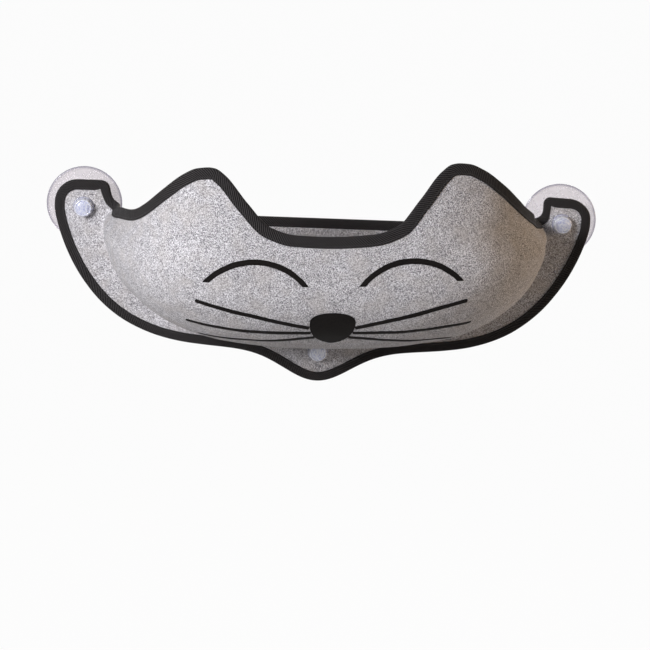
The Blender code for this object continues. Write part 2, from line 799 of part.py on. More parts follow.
def knob_mesh():
    """A tapered thumb nut: rings of a scalloped outline, with a blind bore from the window side."""
    steps = knob_scallops * 4
    angles = np.arange(steps) * 2 * pi / steps
    wave = 0.5 - 0.5 * np.cos(angles * knob_scallops)
    top = knob_face + knob_height
    bore_end = stud_tip + knob_bore_spare
    rings = [(bore_radius, bore_end, 0.0), (bore_radius, knob_face, 0.0),
             (knob_radius, knob_face, 1.0), (knob_radius, knob_face + knob_height * 0.15, 1.0),
             (knob_top_radius, top - knob_height * 0.12, 1.0),
             (knob_top_radius * 0.86, top - knob_height * 0.02, 0.3),
             (knob_top_radius * 0.55, top, 0.0)]
    work = bmesh.new()
    loops = []
    for radius, depth, depth_share in rings:
        reach = radius - knob_scallop_depth * depth_share * wave
        loops.append([work.verts.new((r * cos(a), r * sin(a), depth))
                      for r, a in zip(reach, angles)])
    for one, two in zip(loops, loops[1:]):
        for j in range(steps):
            k = (j + 1) % steps
            work.faces.new((one[j], one[k], two[k], two[j]))
    work.faces.new(loops[0])
    work.faces.new(loops[-1])
    bmesh.ops.recalc_face_normals(work, faces=work.faces)
    mesh = bpy.data.meshes.new("knob")
    work.to_mesh(mesh)
    work.free()
    return mesh


def make_fastenings():
    for name, place in cup_places.items():
        radii = ((chin_cup_radius, chin_cup_pocket_radius) if name == "chin"
                 else (cup_radius, cup_pocket_radius))
        turned("suction_cup_" + name, cup_profile(*radii), CLEAR, place)
        turned("stud_" + name, stud_profile(), CLEAR, place)
        turned("washer_" + name, washer_profile(), CLEAR, place)
        knob = add_object("knob_" + name, knob_mesh(), KNOB)
        knob.rotation_euler = (pi / 2, 0, 0)
        knob.location = (place[0], 0.0, place[1])


def shade():
    for made in bed.objects:
        made.data.shade_smooth()
        made.data.set_sharp_from_angle(angle=radians(35))


clear_scene()
bed = new_collection("cat_window_bed")
cutters = new_collection("cutters")
stud_holes = stud_hole_cutters()
make_front_shell(stud_holes)
make_back_panel(stud_holes)
make_perimeter_binding()
make_rim_binding()
make_back_binding()
make_eyes()
make_nose()
make_whiskers()
make_fastenings()
shade()
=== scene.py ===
# %% [markdown]
# A felt window bed, made in Blender
#
# The bed is one sheet of pressed felt, moulded into a pod with two ears and a flat flange. A
# second flat sheet closes it towards the window, black tape binds every free edge, a face is
# printed on the front, and three clear suction cups with studs, washers and thumb nuts hold it on
# the pane. This lesson builds each piece as a surface worked out with numpy, because the forms are
# smooth curves that a formula says more exactly than hand modelling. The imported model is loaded
# first, and every new piece takes its place, because its sizes and moving bodies are already
# settled there.

# %% Load the frame
from math import pi, radians

import bmesh
import bpy
import numpy as np
from mathutils import Matrix, Vector


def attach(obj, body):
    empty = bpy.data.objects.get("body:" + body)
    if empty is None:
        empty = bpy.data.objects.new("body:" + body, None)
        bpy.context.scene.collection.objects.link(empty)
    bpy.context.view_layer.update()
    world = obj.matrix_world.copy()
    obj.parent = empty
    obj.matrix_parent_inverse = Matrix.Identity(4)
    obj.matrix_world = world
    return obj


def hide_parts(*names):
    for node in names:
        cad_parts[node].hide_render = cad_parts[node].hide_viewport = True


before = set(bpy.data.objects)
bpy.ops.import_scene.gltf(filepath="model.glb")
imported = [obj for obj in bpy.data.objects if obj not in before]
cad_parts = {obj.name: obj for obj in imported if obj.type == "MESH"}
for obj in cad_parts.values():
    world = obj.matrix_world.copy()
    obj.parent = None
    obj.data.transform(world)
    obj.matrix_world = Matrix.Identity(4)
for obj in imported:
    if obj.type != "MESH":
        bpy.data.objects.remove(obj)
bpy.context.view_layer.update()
scene = bpy.context.scene
scene.view_settings.view_transform = "Standard"
print("nodes", len(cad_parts))

# %% [markdown]
# The camera stands a little to the left of the bed and looks down on it by about ten degrees. The
# bed hangs slightly rolled in the frame, so the camera is rolled too. Its shift puts the bed in
# the upper part of the picture, which a turned camera would do only by changing the perspective.

# %% Camera
IMAGE_PIXELS = 650
PIXEL_AT_PANE = 0.0012846
CAMERA_DISTANCE, CAMERA_SEES_TO = 2.8, 200.0
CAMERA_LEFT, CAMERA_ABOVE, CAMERA_ROLL = radians(3.4), radians(10.5), radians(2.7)
ORIGIN_PIXEL = (323.2, 211.75)
SENSOR_WIDTH = 36.0


def make_camera():
    """Camera on a sphere about the origin, looking at it and rolled about its own Z axis.

    The lens is the sensor's width times the distance over the picture's width at the pane, and the
    shift is how far the origin stands from the picture's middle, in picture widths. A positive roll
    turns the picture clockwise.
    """
    data = bpy.data.cameras.new("camera")
    camera = bpy.data.objects.new("camera", data)
    scene.collection.objects.link(camera)
    back = np.array([-np.sin(CAMERA_LEFT) * np.cos(CAMERA_ABOVE),
                     -np.cos(CAMERA_LEFT) * np.cos(CAMERA_ABOVE), np.sin(CAMERA_ABOVE)])
    camera.location = back * CAMERA_DISTANCE
    camera.rotation_euler = (pi / 2 - CAMERA_ABOVE, 0.0, -CAMERA_LEFT)
    roll = Matrix.Rotation(CAMERA_ROLL, 3, "Z")
    camera.rotation_euler = (camera.rotation_euler.to_matrix() @ roll).to_euler()
    data.sensor_width = SENSOR_WIDTH
    data.lens = SENSOR_WIDTH * CAMERA_DISTANCE / (IMAGE_PIXELS * PIXEL_AT_PANE)
    data.shift_x = 0.5 - ORIGIN_PIXEL[0] / IMAGE_PIXELS
    data.shift_y = ORIGIN_PIXEL[1] / IMAGE_PIXELS - 0.5
    data.clip_end = CAMERA_SEES_TO
    scene.camera = camera
    return camera


camera = make_camera()
print("lens", round(camera.data.lens, 2), "shift", round(camera.data.shift_x, 4),
      round(camera.data.shift_y, 4))

# %% [markdown]
# The surroundings and all the materials are trees of nodes. Two helpers keep their making short:
# one adds a node and feeds its sockets with values or with other nodes' outputs, and the other
# does one step of arithmetic.

# %% Nodes


def put(tree, kind, feeds=None, **settings):
    """New node; feeds maps a socket's name or number to a value or to another node's output."""
    node = tree.nodes.new(kind)
    for key, value in settings.items():
        setattr(node, key, value)
    for key, value in (feeds or {}).items():
        if isinstance(value, bpy.types.NodeSocket):
            tree.links.new(value, node.inputs[key])
        else:
            node.inputs[key].default_value = value
    return node


def sums(tree, way, first, second=0.0, third=0.0):
    """One arithmetic step on numbers."""
    return put(tree, "ShaderNodeMath", {0: first, 1: second, 2: third}, operation=way).outputs[0]


print("two node helpers are ready")

# %% [markdown]
# The stage is a wide pale floor far below the bed and a white surrounding. Rays that go straight
# to the camera, or are mirrored or bent by clear plastic, see the surroundings as white. All other
# rays see a dim, warm room, so the shaded side of the felt stays dark and brownish as it is on the
# bed.

# %% World and floor
WHITE = (1.0, 1.0, 1.0, 1.0)
ROOM_COLOR, ROOM_STRENGTH = (1.0, 0.92, 0.85, 1.0), 0.015
FLOOR_COLOR = (0.55, 0.55, 0.55, 1.0)
FLOOR_HEIGHT, FLOOR_SIZE = -1.15, 160.0
FLOOR_SHOWS = 0.03


def white_for_view(tree):
    """1 for camera, glossy and transmission rays, 0 for the rest: the largest of the three."""
    path = put(tree, "ShaderNodeLightPath").outputs
    seen = sums(tree, "MAXIMUM", path["Is Camera Ray"], path["Is Glossy Ray"])
    return sums(tree, "MAXIMUM", seen, path["Is Transmission Ray"])


def show_mix(tree, output, share, first, second):
    """Sends two shader nodes to the output node, mixed by a share of the second."""
    mix = put(tree, "ShaderNodeMixShader", {0: share, 1: first.outputs[0], 2: second.outputs[0]})
    put(tree, output, {"Surface": mix.outputs[0]})


def make_world():
    """A dim room for the light and a white one for the eye."""
    world = bpy.data.worlds.new("studio")
    scene.world = world
    world.use_nodes = True
    tree = world.node_tree
    tree.nodes.clear()
    room = put(tree, "ShaderNodeBackground", {"Color": ROOM_COLOR, "Strength": ROOM_STRENGTH})
    white = put(tree, "ShaderNodeBackground", {"Color": WHITE, "Strength": 1.0})
    show_mix(tree, "ShaderNodeOutputWorld", white_for_view(tree), room, white)


def make_floor():
    """A square floor that shows mostly white and keeps a faint part of its own light and shade."""
    half = FLOOR_SIZE / 2
    corners = [(-half, -half), (half, -half), (half, half), (-half, half)]
    mesh = bpy.data.meshes.new("floor")
    mesh.from_pydata([(x, y, FLOOR_HEIGHT) for x, y in corners], [], [(0, 1, 2, 3)])
    floor = bpy.data.objects.new("floor", mesh)
    scene.collection.objects.link(floor)
    pale = bpy.data.materials.new("pale_floor")
    pale.use_nodes = True
    tree = pale.node_tree
    tree.nodes.clear()
    matt = put(tree, "ShaderNodeBsdfDiffuse", {"Color": FLOOR_COLOR})
    glow = put(tree, "ShaderNodeEmission", {"Color": WHITE, "Strength": 1.0})
    share = sums(tree, "MULTIPLY", white_for_view(tree), 1.0 - FLOOR_SHOWS)
    show_mix(tree, "ShaderNodeOutputMaterial", share, matt, glow)
    mesh.materials.append(pale)


make_world()
make_floor()
print("room strength", ROOM_STRENGTH)

# %% [markdown]
# One soft lamp stands in front of the bed, to its left and above it. Because it is near, the light
# falls off across the bed, and the deep pod keeps it from the right half of the flange. A weak
# warm lamp close to the pane at the right gives the pod's dark side its brownish edge, and another
# behind the pane lets the back be seen.

# %% Lamps
# Each lamp: its place, the side of its square, its colour and its power in watts
LAMPS = {
    "key_left": ((-1.7, -2.1, 0.9), 0.8, (0.975, 0.968, 1.0), 82.0),
    "warm_right": ((1.5, -0.25, 0.25), 0.7, (1.0, 0.74, 0.50), 6.8),
    "behind": ((0.5, 2.0, 0.7), 1.2, (1.0, 0.90, 0.80), 18.0),
}
LAMP_AIM = (0.0, -0.12, -0.03)


def make_lamp(name, place, size, color, watts):
    """Square area lamp that looks at the middle of the bed."""
    data = bpy.data.lights.new(name, "AREA")
    data.size, data.color, data.energy = size, color, watts
    lamp = bpy.data.objects.new(name, data)
    lamp.location = place
    aim = Vector(LAMP_AIM) - Vector(place)
    lamp.rotation_euler = aim.to_track_quat("-Z", "Y").to_euler()
    scene.collection.objects.link(lamp)


for lamp_name, lamp_values in LAMPS.items():
    make_lamp(lamp_name, *lamp_values)
print("lamps", list(LAMPS))

# %% [markdown]
# The felt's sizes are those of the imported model, in metres. Depth is the distance out from the
# pane, so y is minus the depth. Forms are worked out for the right half of the bed and mirrored.

# %% Sizes
pod_half_width, pod_drop, pod_depth = 0.281, 0.155, 0.250
width_power, drop_power, corner_power, depth_power = 2.8, 2.15, 1.5, 2.1
rim_draw_in, draw_in_bottom, draw_in_height = 0.019, -0.025, 0.045
fold_radius = 0.007
felt_thickness, clearance = 0.003, 0.0003
valley_height, ear_height, ear_spread, notch_height = 0.0205, 0.1028, 0.146, 0.008
cup_x, chin_cup_z = 0.3053, -0.1784
tab_side, tab_top, tab_inner_side = 0.0352, 0.0332, 0.0262
tab_inner_radius, tab_outer_radius = 0.009, 0.028
flange_bottom, flange_middle_height = -0.1760, -0.0022
flange_side_power, flange_drop_power = 4.67, 1.34
chin_drop, chin_half_width = 0.0407, 0.0604
back_top, back_step = -0.006, 0.001
back_face = 0.0183
flange_face = back_face + 2 * felt_thickness + clearance
print("flange face stands", round(flange_face * 1000, 1), "mm off the pane")

# %% [markdown]
# A few small curves serve everywhere: a soft step from 0 to 1, a bell, and a smooth line through a
# few given points that never overshoots between them. The last one draws the rim's ears from a
# handful of heights, as a maker would with a bent strip.

# %% Curves


def soft_step(t):
    """3 t squared minus 2 t cubed, held to 0 below 0 and to 1 above 1."""
    t = np.clip(t, 0.0, 1.0)
    return t * t * (3.0 - 2.0 * t)


def shares(count):
    """0 to 1 in so many equal steps."""
    return np.linspace(0.0, 1.0, count + 1)


def rise(t, start, span):
    """A soft step that begins at start and is full a span further on."""
    return soft_step((t - start) / span)


def bell(t):
    """The bell curve, 1 at 0."""
    return np.exp(-t * t)


def line_through(xs, ys, x):
    """Cubic pieces between the points; each slope is a weighted harmonic mean of its two sides."""
    xs, ys = np.asarray(xs, float), np.asarray(ys, float)
    gaps = np.diff(xs)
    slopes = np.diff(ys) / gaps
    same_way = slopes[:-1] * slopes[1:] > 0
    one, two = 2 * gaps[1:] + gaps[:-1], gaps[1:] + 2 * gaps[:-1]
    mean = (one + two) / (one / np.where(same_way, slopes[:-1], 1.0)
                          + two / np.where(same_way, slopes[1:], 1.0))
    at_points = np.zeros(len(xs))
    at_points[1:-1] = np.where(same_way, mean, 0.0)
    i = np.clip(np.searchsorted(xs, x, side="right") - 1, 0, len(gaps) - 1)
    t = (x - xs[i]) / gaps[i]
    return ((1 + 2 * t) * (1 - t) ** 2 * ys[i] + t * (1 - t) ** 2 * gaps[i] * at_points[i]
            + t * t * (3 - 2 * t) * ys[i + 1] + t * t * (t - 1) * gaps[i] * at_points[i + 1])


print("soft step at a quarter", soft_step(0.25))

# %% [markdown]
# Lines of points need a few helpers too: the distance along a line, its points at given distances,
# and vectors brought to length one. Even steps along a line keep the cells of a mesh well shaped.

# %% Lines of points


def run_along(*columns):
    """Distance along a line of points, as the running sum of the steps between them."""
    steps = np.sqrt(sum(np.diff(c) ** 2 for c in columns))
    return np.concatenate([[0.0], np.cumsum(steps)])


def sampled(line, run, at):
    """Points of a line at given distances along it: each column drawn straight between points."""
    return np.stack([np.interp(at, run, column) for column in line.T], 1)


def evenly(line, count):
    """The same line as count points, equally far apart along it."""
    run = run_along(*line.T)
    return sampled(line, run, np.linspace(0.0, run[-1], count))


def unit(vectors):
    """Each vector divided by its length."""
    return vectors / np.linalg.norm(vectors, axis=-1, keepdims=True)


print("a slanted unit vector", unit(np.array([3.0, 4.0])))

# %% [markdown]
# The pod's outer face is a superellipsoid, an egg with full corners: the powers of its width, drop
# and depth say how square each section is. Angle theta goes from 0 at the front to the fold, and
# the turn goes round the front's middle, from level to straight down. Above the mouth line the
# wall rises straight, drawn in a little at the rim, because the binding pulls it.

# %% Pod surface
fold_angle = np.arccos((fold_radius / pod_depth) ** (depth_power / 2))


def side(z):
    """Half width at height z: the full half width less a soft step's share of the draw-in."""
    return pod_half_width - rim_draw_in * rise(z, draw_in_bottom, draw_in_height)


def wall_point(theta, z):
    """x and depth at height z; the share is sin squared of theta over what the drop leaves."""
    drop = np.clip(-z / pod_drop, 0.0, 1.0)
    least = drop ** (drop_power * corner_power)
    share = least + (1 - least) * np.sin(theta) ** 2
    spread = np.clip(share ** (1 / corner_power) - drop ** drop_power, 0.0, None)
    return (side(z) * spread ** (1 / width_power),
            flange_face + pod_depth * (1 - share) ** (1 / depth_power))


def pod_point(theta, turn):
    """x, depth and z on the ray at this turn, whose cos and sin squared share width and drop."""
    share = np.sin(theta) ** (2 / corner_power)
    z = -pod_drop * (share * np.sin(turn) ** 2) ** (1 / drop_power)
    x = side(z) * (share * np.cos(turn) ** 2) ** (1 / width_power)
    return x, flange_face + pod_depth * np.cos(theta) ** (2 / depth_power), z


def depth_over(x, z):
    """Depth of the outer face over (x, z): one less the corner power of the two spreads, rooted."""
    drop = np.clip(-np.asarray(z) / pod_drop, 0.0, None)
    share = ((np.abs(x) / side(np.asarray(z))) ** width_power + drop ** drop_power) ** corner_power
    return flange_face + pod_depth * np.clip(1.0 - share, 0.0, None) ** (1 / depth_power)


print("depth of the front", round(float(depth_over(0.0, 0.0)) * 1000, 1), "mm")

# %% [markdown]
# The free edge of the sheet is a height over the distance along the rim: a flat valley in the
# middle, an ear, and a long fall to the notch beside the tab. Rings of the grid stand closer round
# the ear, where the edge bends most.

# %% Rim
RING_SPANS = (10, 62, 40, 26)
EAR_BEGINS, EAR_ENDS, FALL_SPLIT = 0.31, 1.27, 0.475
FINE_STEPS = 8000
# Shares of the way to the ear and of its rise, then of the way on to the notch and of the height
EAR_UP = ([0.0, 0.32, 0.52, 0.70, 0.87, 0.955, 1.0], [0.0, 0.03, 0.15, 0.51, 0.89, 0.99, 1.0])
EAR_DOWN = ([0.0, 0.05, 0.12, 0.22, 0.37, 0.47, 0.56, 0.69, 0.84, 1.0],
            [1.0, 0.985, 0.90, 0.71, 0.43, 0.30, 0.235, 0.165, 0.075, 0.0])


def ring_stations():
    """Rim distances of the rings, and fine tables of theta against the distance along the rim."""
    fine = shares(FINE_STEPS) ** 2 * fold_angle
    x, depth = wall_point(fine, np.zeros_like(fine) + draw_in_bottom + draw_in_height)
    run = run_along(x, depth)
    start, end = ear_spread * EAR_BEGINS, ear_spread * EAR_ENDS
    knots = [0.0, start, end, end * (1 - FALL_SPLIT) + run[-1] * FALL_SPLIT, run[-1]]
    ends = np.cumsum([0, *RING_SPANS])
    return np.interp(np.arange(ends[-1] + 1), ends, knots), fine, run


stations, theta_fine, run_fine = ring_stations()
rim_length = run_fine[-1]
ring_theta = np.interp(stations, run_fine, theta_fine)


def rim_height(station):
    """Height of the free edge: one line through points up to the ear and another down from it."""
    station = np.asarray(station, float)
    inner = line_through(*EAR_UP, station / ear_spread)
    outer = line_through(*EAR_DOWN, (station - ear_spread) / (rim_length - ear_spread))
    return np.where(station < ear_spread, valley_height + (ear_height - valley_height) * inner,
                    notch_height + (ear_height - notch_height) * outer)


print("rim length of one half", round(rim_length, 4), "rings", len(stations))

# %% [markdown]
# Felt that has been pressed over a form is never quite even. A sum of a few long, shallow waves in
# all directions stands for that, and the tape and the print follow the same waves, because they
# lie on the felt.

# %% Waves
WAVE_COUNT = 14
waves = np.random.default_rng(7)
WAVE_WAYS = unit(waves.normal(size=(WAVE_COUNT, 3)))
WAVE_LENGTHS = np.geomspace(0.022, 0.120, WAVE_COUNT)
WAVE_PHASES = waves.uniform(0, 2 * pi, WAVE_COUNT)
WAVE_HEIGHTS = 0.00016 * (WAVE_LENGTHS / 0.060) ** 0.8


def felt_wave(points):
    """Sum of sine waves in the felt's place, each longer one a little higher."""
    along = points @ WAVE_WAYS.T * (2 * pi / WAVE_LENGTHS) + WAVE_PHASES
    return (np.sin(along) * WAVE_HEIGHTS).sum(-1)


def wave_out(points, out):
    """Moves (x, depth, z) points along given outward directions by the felt's waves."""
    return points + out * felt_wave(points)[..., None]


print("highest wave", round(float(WAVE_HEIGHTS.sum()) * 1000, 2), "mm")

# %% [markdown]
# Hands bend the two ears and the two notches a little differently. A table of gentle shifts says
# by how much. Last of all, each point is turned about Y by up to the hanging twist, because the
# bed hangs turned towards its front, and a little more so up the ears.

# %% Unevenness and twist
# Each shift: metres in x and in z, its middle and half width in x, the height where it begins, the
# rise over which it grows, and whether it acts on the free edge, near the flange or on both
SHIFTS = {
    "right ear up": (0.0, 0.0020, 0.238, 0.032, 0.005, 0.020, "free"),
    "left ear down": (0.0, -0.0030, -0.220, 0.045, -0.020, 0.030, "free"),
    "right ear inward": (-0.0015, 0.0, 0.095, 0.035, 0.020, 0.030, "free"),
    "left notch narrower": (0.0056, 0.0, -0.276, 0.017, -0.012, 0.020, "near"),
    "right tab sloped": (0.0, -0.0020, 0.318, 0.030, 0.012, 0.016, "near"),
    "right notch deeper": (0.0, -0.0030, 0.259, 0.016, -0.020, 0.020, "both"),
    "left notch deeper": (0.0, -0.0012, -0.262, 0.012, -0.020, 0.020, "both"),
}
RIGHT_NOTCH, RIGHT_NOTCH_X, RIGHT_NOTCH_Z = 0.0074, (0.276, 0.016), (-0.002, 0.026)
RIGHT_SIDE, RIGHT_SIDE_X, RIGHT_SIDE_Z = 0.0006, (0.30, 0.03), (0.010, 0.02)
FREE_SPAN, NEAR_ENDS, NEAR_SPAN = 0.03, 0.012, 0.05
hang_twist, rim_twist = radians(2.5), radians(0.7)
RIM_TWIST_Z = (-0.02, 0.09)


def uneven(x, depth, z):
    """x and z with every shift: its size times a bell of x, a soft step of z and where it acts."""
    out = depth - flange_face
    acts = {"free": rise(out, 0.0, FREE_SPAN), "near": 1 - rise(out, NEAR_ENDS, NEAR_SPAN),
            "both": 1.0}
    notch = [bell((t - middle) / width)
             for t, (middle, width) in ((x, RIGHT_NOTCH_X), (z, RIGHT_NOTCH_Z))]
    flange_side = rise(x, *RIGHT_SIDE_X) * (1 - rise(z, *RIGHT_SIDE_Z))
    x_shift = (RIGHT_NOTCH * notch[0] * notch[1] + RIGHT_SIDE * flange_side) * acts["near"]
    z_shift = 0.0
    for in_x, in_z, middle, width, start, span, where in SHIFTS.values():
        share = bell((x - middle) / width) * rise(z, start, span) * acts[where]
        x_shift, z_shift = x_shift + in_x * share, z_shift + in_z * share
    return x + x_shift, z + z_shift


def hung(points):
    """World places of (x, depth, z) points: a turn about Y that grows with depth and height."""
    x, depth, z = points[..., 0], points[..., 1], points[..., 2]
    x, z = uneven(x, depth, z)
    share = np.clip((depth - flange_face) / pod_depth, 0.0, 1.0)
    turn = (hang_twist + rim_twist * rise(z, *RIM_TWIST_Z)) * share
    cos, sin = np.cos(turn), np.sin(turn)
    return np.stack([x * cos - z * sin, -depth, x * sin + z * cos], -1)


print("shifts", len(SHIFTS) + 2)

# %% [markdown]
# A grid of points becomes a mesh in two steps: an array of corner numbers for every cell, and one
# call that hands points and corners to Blender. Grids that share a border are merged there, so the
# moulded sheet ends up as one piece.

# %% Grids into meshes


def cells(rows, columns, flipped=False, around=False, first=0):
    """Corner numbers of every cell of a grid; around also joins the last column to the first."""
    i, j = np.meshgrid(np.arange(rows - 1), np.arange(columns if around else columns - 1),
                       indexing="ij")
    k = (j + 1) % columns
    quads = np.stack([i * columns + j, i * columns + k, (i + 1) * columns + k,
                      (i + 1) * columns + j], -1).reshape(-1, 4) + first
    return quads[:, ::-1] if flipped else quads


def mesh_of(name, points, faces):
    """Mesh of an array of points and a list of faces, as they stand."""
    mesh = bpy.data.meshes.new(name)
    mesh.from_pydata(points.reshape(-1, 3).tolist(), [], faces)
    return mesh


def edited(mesh, change):
    """Opens the mesh for editing, makes the change and writes it back."""
    work = bmesh.new()
    work.from_mesh(mesh)
    change(work)
    work.to_mesh(mesh)
    work.free()
    return mesh


def welded(mesh, near=2e-6, thin=1e-6):
    """Merges points nearer than one distance, dissolves faces thinner than another; smooth."""
    def change(work):
        bmesh.ops.remove_doubles(work, verts=work.verts, dist=near)
        bmesh.ops.dissolve_degenerate(work, dist=thin, edges=work.edges)

    edited(mesh, change).shade_smooth()
    return mesh


def at_depth(flat, depth):
    """(x, depth, z) points from flat (x, z) ones, at one depth."""
    return np.insert(flat, 1, depth, axis=-1)


print("corners of one cell", cells(2, 2).tolist())

# %% [markdown]
# Faces have to look outward. A closed shell tells by its signed volume, and a sheet by the way
# that its faces look on the whole. Every finished piece is then told which body it rides on, and
# the nodes of the imported model that it stands for are hidden.

# %% Faces and pieces


def turned_over(mesh, is_wrong):
    """Turns every face over if the test, made on the open mesh, says so."""
    def change(work):
        if is_wrong(work):
            bmesh.ops.reverse_faces(work, faces=work.faces)

    return edited(mesh, change)


def facing_out(mesh):
    """A closed mesh with its faces outward: the volume summed over its triangles is positive."""
    return turned_over(mesh, lambda work: work.calc_volume(signed=True) < 0)


def facing_room(mesh):
    """A sheet with its faces to the room, down y: normal y times area sums to less than 0."""
    return turned_over(mesh, lambda work: sum(f.normal.y * f.calc_area() for f in work.faces) > 0)


def add_piece(name, mesh, body, slot, *nodes):
    """Object at the origin that rides on a body and stands for the CAD nodes named."""
    piece = bpy.data.objects.new(name, mesh)
    scene.collection.objects.link(piece)
    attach(piece, body)
    if nodes:
        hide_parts(*nodes)
    print(name, len(mesh.polygons), "faces")
    return piece


def thicken(piece, thickness, offset):
    """Solidify along the vertex normals, which a fine grid follows closely enough."""
    wall = piece.modifiers.new("wall", "SOLIDIFY")
    wall.thickness = thickness
    wall.offset = offset
    wall.use_quality_normals = True


print("helpers for pieces are ready")

# %% [markdown]
# The moulded sheet has four grids on each half: a strip above the mouth line, rays from the
# front's middle down and out, the rounded fold, and the flat flange. The first two make the pod.
# Their rows and rays stand closer together where the wall bends.

# %% Pod grids
RIM_ROWS, FAN_COUNT = 18, 100
RIM_ROWS_CLOSER, FINE_CLOSER, FAN_CLOSER = 1.2, 1.4, 1.25


def rim_shares():
    """Rows of the upper strip, closer near the mouth line where the wall is drawn in."""
    return shares(RIM_ROWS) ** RIM_ROWS_CLOSER


def rim_grid():
    """Upper strip, from the mouth line up to the free edge."""
    z = rim_shares()[None, :] * rim_height(stations)[:, None]
    x, depth = wall_point(np.broadcast_to(ring_theta[:, None], z.shape), z)
    x[0] = 0.0
    return np.stack([x, depth, z], -1)


def fan_turns():
    """Turns from level to straight down, closer near the tabs."""
    turn = pi / 2 * (1 - (1 - shares(FINE_STEPS)) ** FINE_CLOSER)
    x, _, z = pod_point(np.full_like(turn, fold_angle), turn)
    run = run_along(x, z)
    return np.interp(run[-1] * shares(FAN_COUNT) ** FAN_CLOSER, run, turn)


def bowl_grid():
    """Lower part, in rays from the front's middle out to the fold."""
    theta, turn = np.meshgrid(ring_theta, fan_turns(), indexing="ij")
    grid = np.stack(pod_point(theta, turn), -1)
    grid[:, -1, 0] = 0.0
    return grid


print("pod grids", rim_grid().shape, bowl_grid().shape)

# %% [markdown]
# The fold turns the wall into the flange by a quarter circle. It is carried along the line where
# the wall ends, square to that line, so its width stays the same all round.

# %% Fold grid
FOLD_ROWS = 8


def pod_foot():
    """Where the wall meets the fold: x, z and the way square to the wall, from notch to middle."""
    height = rim_shares()[::-1] * notch_height
    x, _ = wall_point(np.full_like(height, fold_angle), height)
    upper = np.stack([x, height, np.ones_like(x), np.zeros_like(x)], 1)
    turns = fan_turns()[1:]
    x, _, z = pod_point(np.full_like(turns, fold_angle), turns)
    spread, drop = np.clip(x / side(z), 0.0, 1.0), np.clip(-z / pod_drop, 0.0, 1.0)
    way = unit(np.stack([width_power * spread ** (width_power - 1) / pod_half_width,
                         -drop_power * drop ** (drop_power - 1) / pod_drop], 1))
    return np.concatenate([upper, np.concatenate([np.stack([x, z], 1), way], 1)])


def fold_grid():
    """A quarter circle of the fold's radius from the wall out to the flange."""
    foot = pod_foot()
    turn = np.linspace(0.0, pi / 2, FOLD_ROWS + 1)[None, :]
    out = fold_radius * (1 - np.cos(turn))
    x = foot[:, None, 0] + foot[:, None, 2] * out
    z = foot[:, None, 1] + foot[:, None, 3] * out
    x[-1] = 0.0
    depth = np.broadcast_to(flange_face + fold_radius * (1 - np.sin(turn)), x.shape)
    return np.stack([x, depth, z], -1)


print("fold foot points", len(pod_foot()))

# %% [markdown]
# The flange's outline is a rounded tab, a side that falls to the bottom, and a bell-shaped chin.
# It was read off the real bed as a few sizes and powers, so that each can be changed alone.

# %% Flange outline
flange_half_width = cup_x + tab_side
# The tab's two corners: first and last angle in degrees, and points
TAB_INNER_ARC, TAB_OUTER_ARC = (165, 92, 12), (88, 0, 18)
OUTLINE_STEPS, BOTTOM_POWER, BEND_SHARE = 4000, 1.4, 0.6


def flange_side_x(z):
    """Half width below the tab: a superellipse of the share of the fall."""
    down = np.clip((flange_middle_height - z) / (flange_middle_height - flange_bottom), 0.0, 1.0)
    return flange_half_width * (1 - down ** flange_drop_power) ** (1 / flange_side_power)


def arc(middle_x, middle_z, radius, start, end, count):
    """Points on a circle between two angles in degrees."""
    angles = np.radians(np.linspace(start, end, count))
    return np.stack([middle_x + radius * np.cos(angles), middle_z + radius * np.sin(angles)], 1)


def tab_outline():
    """The tab's top with its two rounded corners."""
    inner = arc(cup_x - tab_inner_side + tab_inner_radius, tab_top - tab_inner_radius,
                tab_inner_radius, *TAB_INNER_ARC)
    corner_z = tab_top - tab_outer_radius
    outer = arc(flange_side_x(corner_z) - tab_outer_radius, corner_z, tab_outer_radius,
                *TAB_OUTER_ARC)
    return np.concatenate([inner, outer])


def lower_outline(count):
    """Side and bottom down to the chin: the superellipse less a bell, in closer points at bends."""
    angle = pi / 2 * (1 - (1 - shares(OUTLINE_STEPS)) ** 2)
    start = tab_top - tab_outer_radius
    z = start - (start - flange_bottom) * np.sin(angle) ** BOTTOM_POWER
    x = flange_side_x(z)
    x[-1] = 0.0
    z = z - chin_drop * bell(x / chin_half_width)
    run = run_along(x, z)
    bend = np.abs(np.gradient(np.unwrap(np.arctan2(np.gradient(z), np.gradient(x)))))
    bend = np.cumsum(bend)
    weight = run / run[-1] + BEND_SHARE * bend / bend[-1]
    at = np.interp(np.linspace(0.0, weight[-1], count + 1)[1:], weight, run)
    return sampled(np.stack([x, z], 1), run, at)


print("flange half width", flange_half_width)

# %% [markdown]
# The flange's grid is a flat strip from the fold out to that outline. Beside the tab it bends to
# follow the rounded notch, and the bend fades out over the next columns.

# %% Flange grid
FLANGE_ROWS, NOTCH_FADE = 18, 40
# The notch's side: shares of the way from the fold to the tab, and of the way in x and in z
NOTCH_SHARES = (0.0, 0.2, 0.5, 1.0)
NOTCH_WAYS = (0.0, 0.32, 0.68, 1.0), (0.0, 0.11, 0.42, 1.0)


def notch_side(start, end):
    """The tab's inner side, from the top of the fold up to the tab's corner, as a rounded notch."""
    w = shares(FLANGE_ROWS)
    share = np.stack([line_through(NOTCH_SHARES, way, w) for way in NOTCH_WAYS], 1)
    return start + (end - start) * share


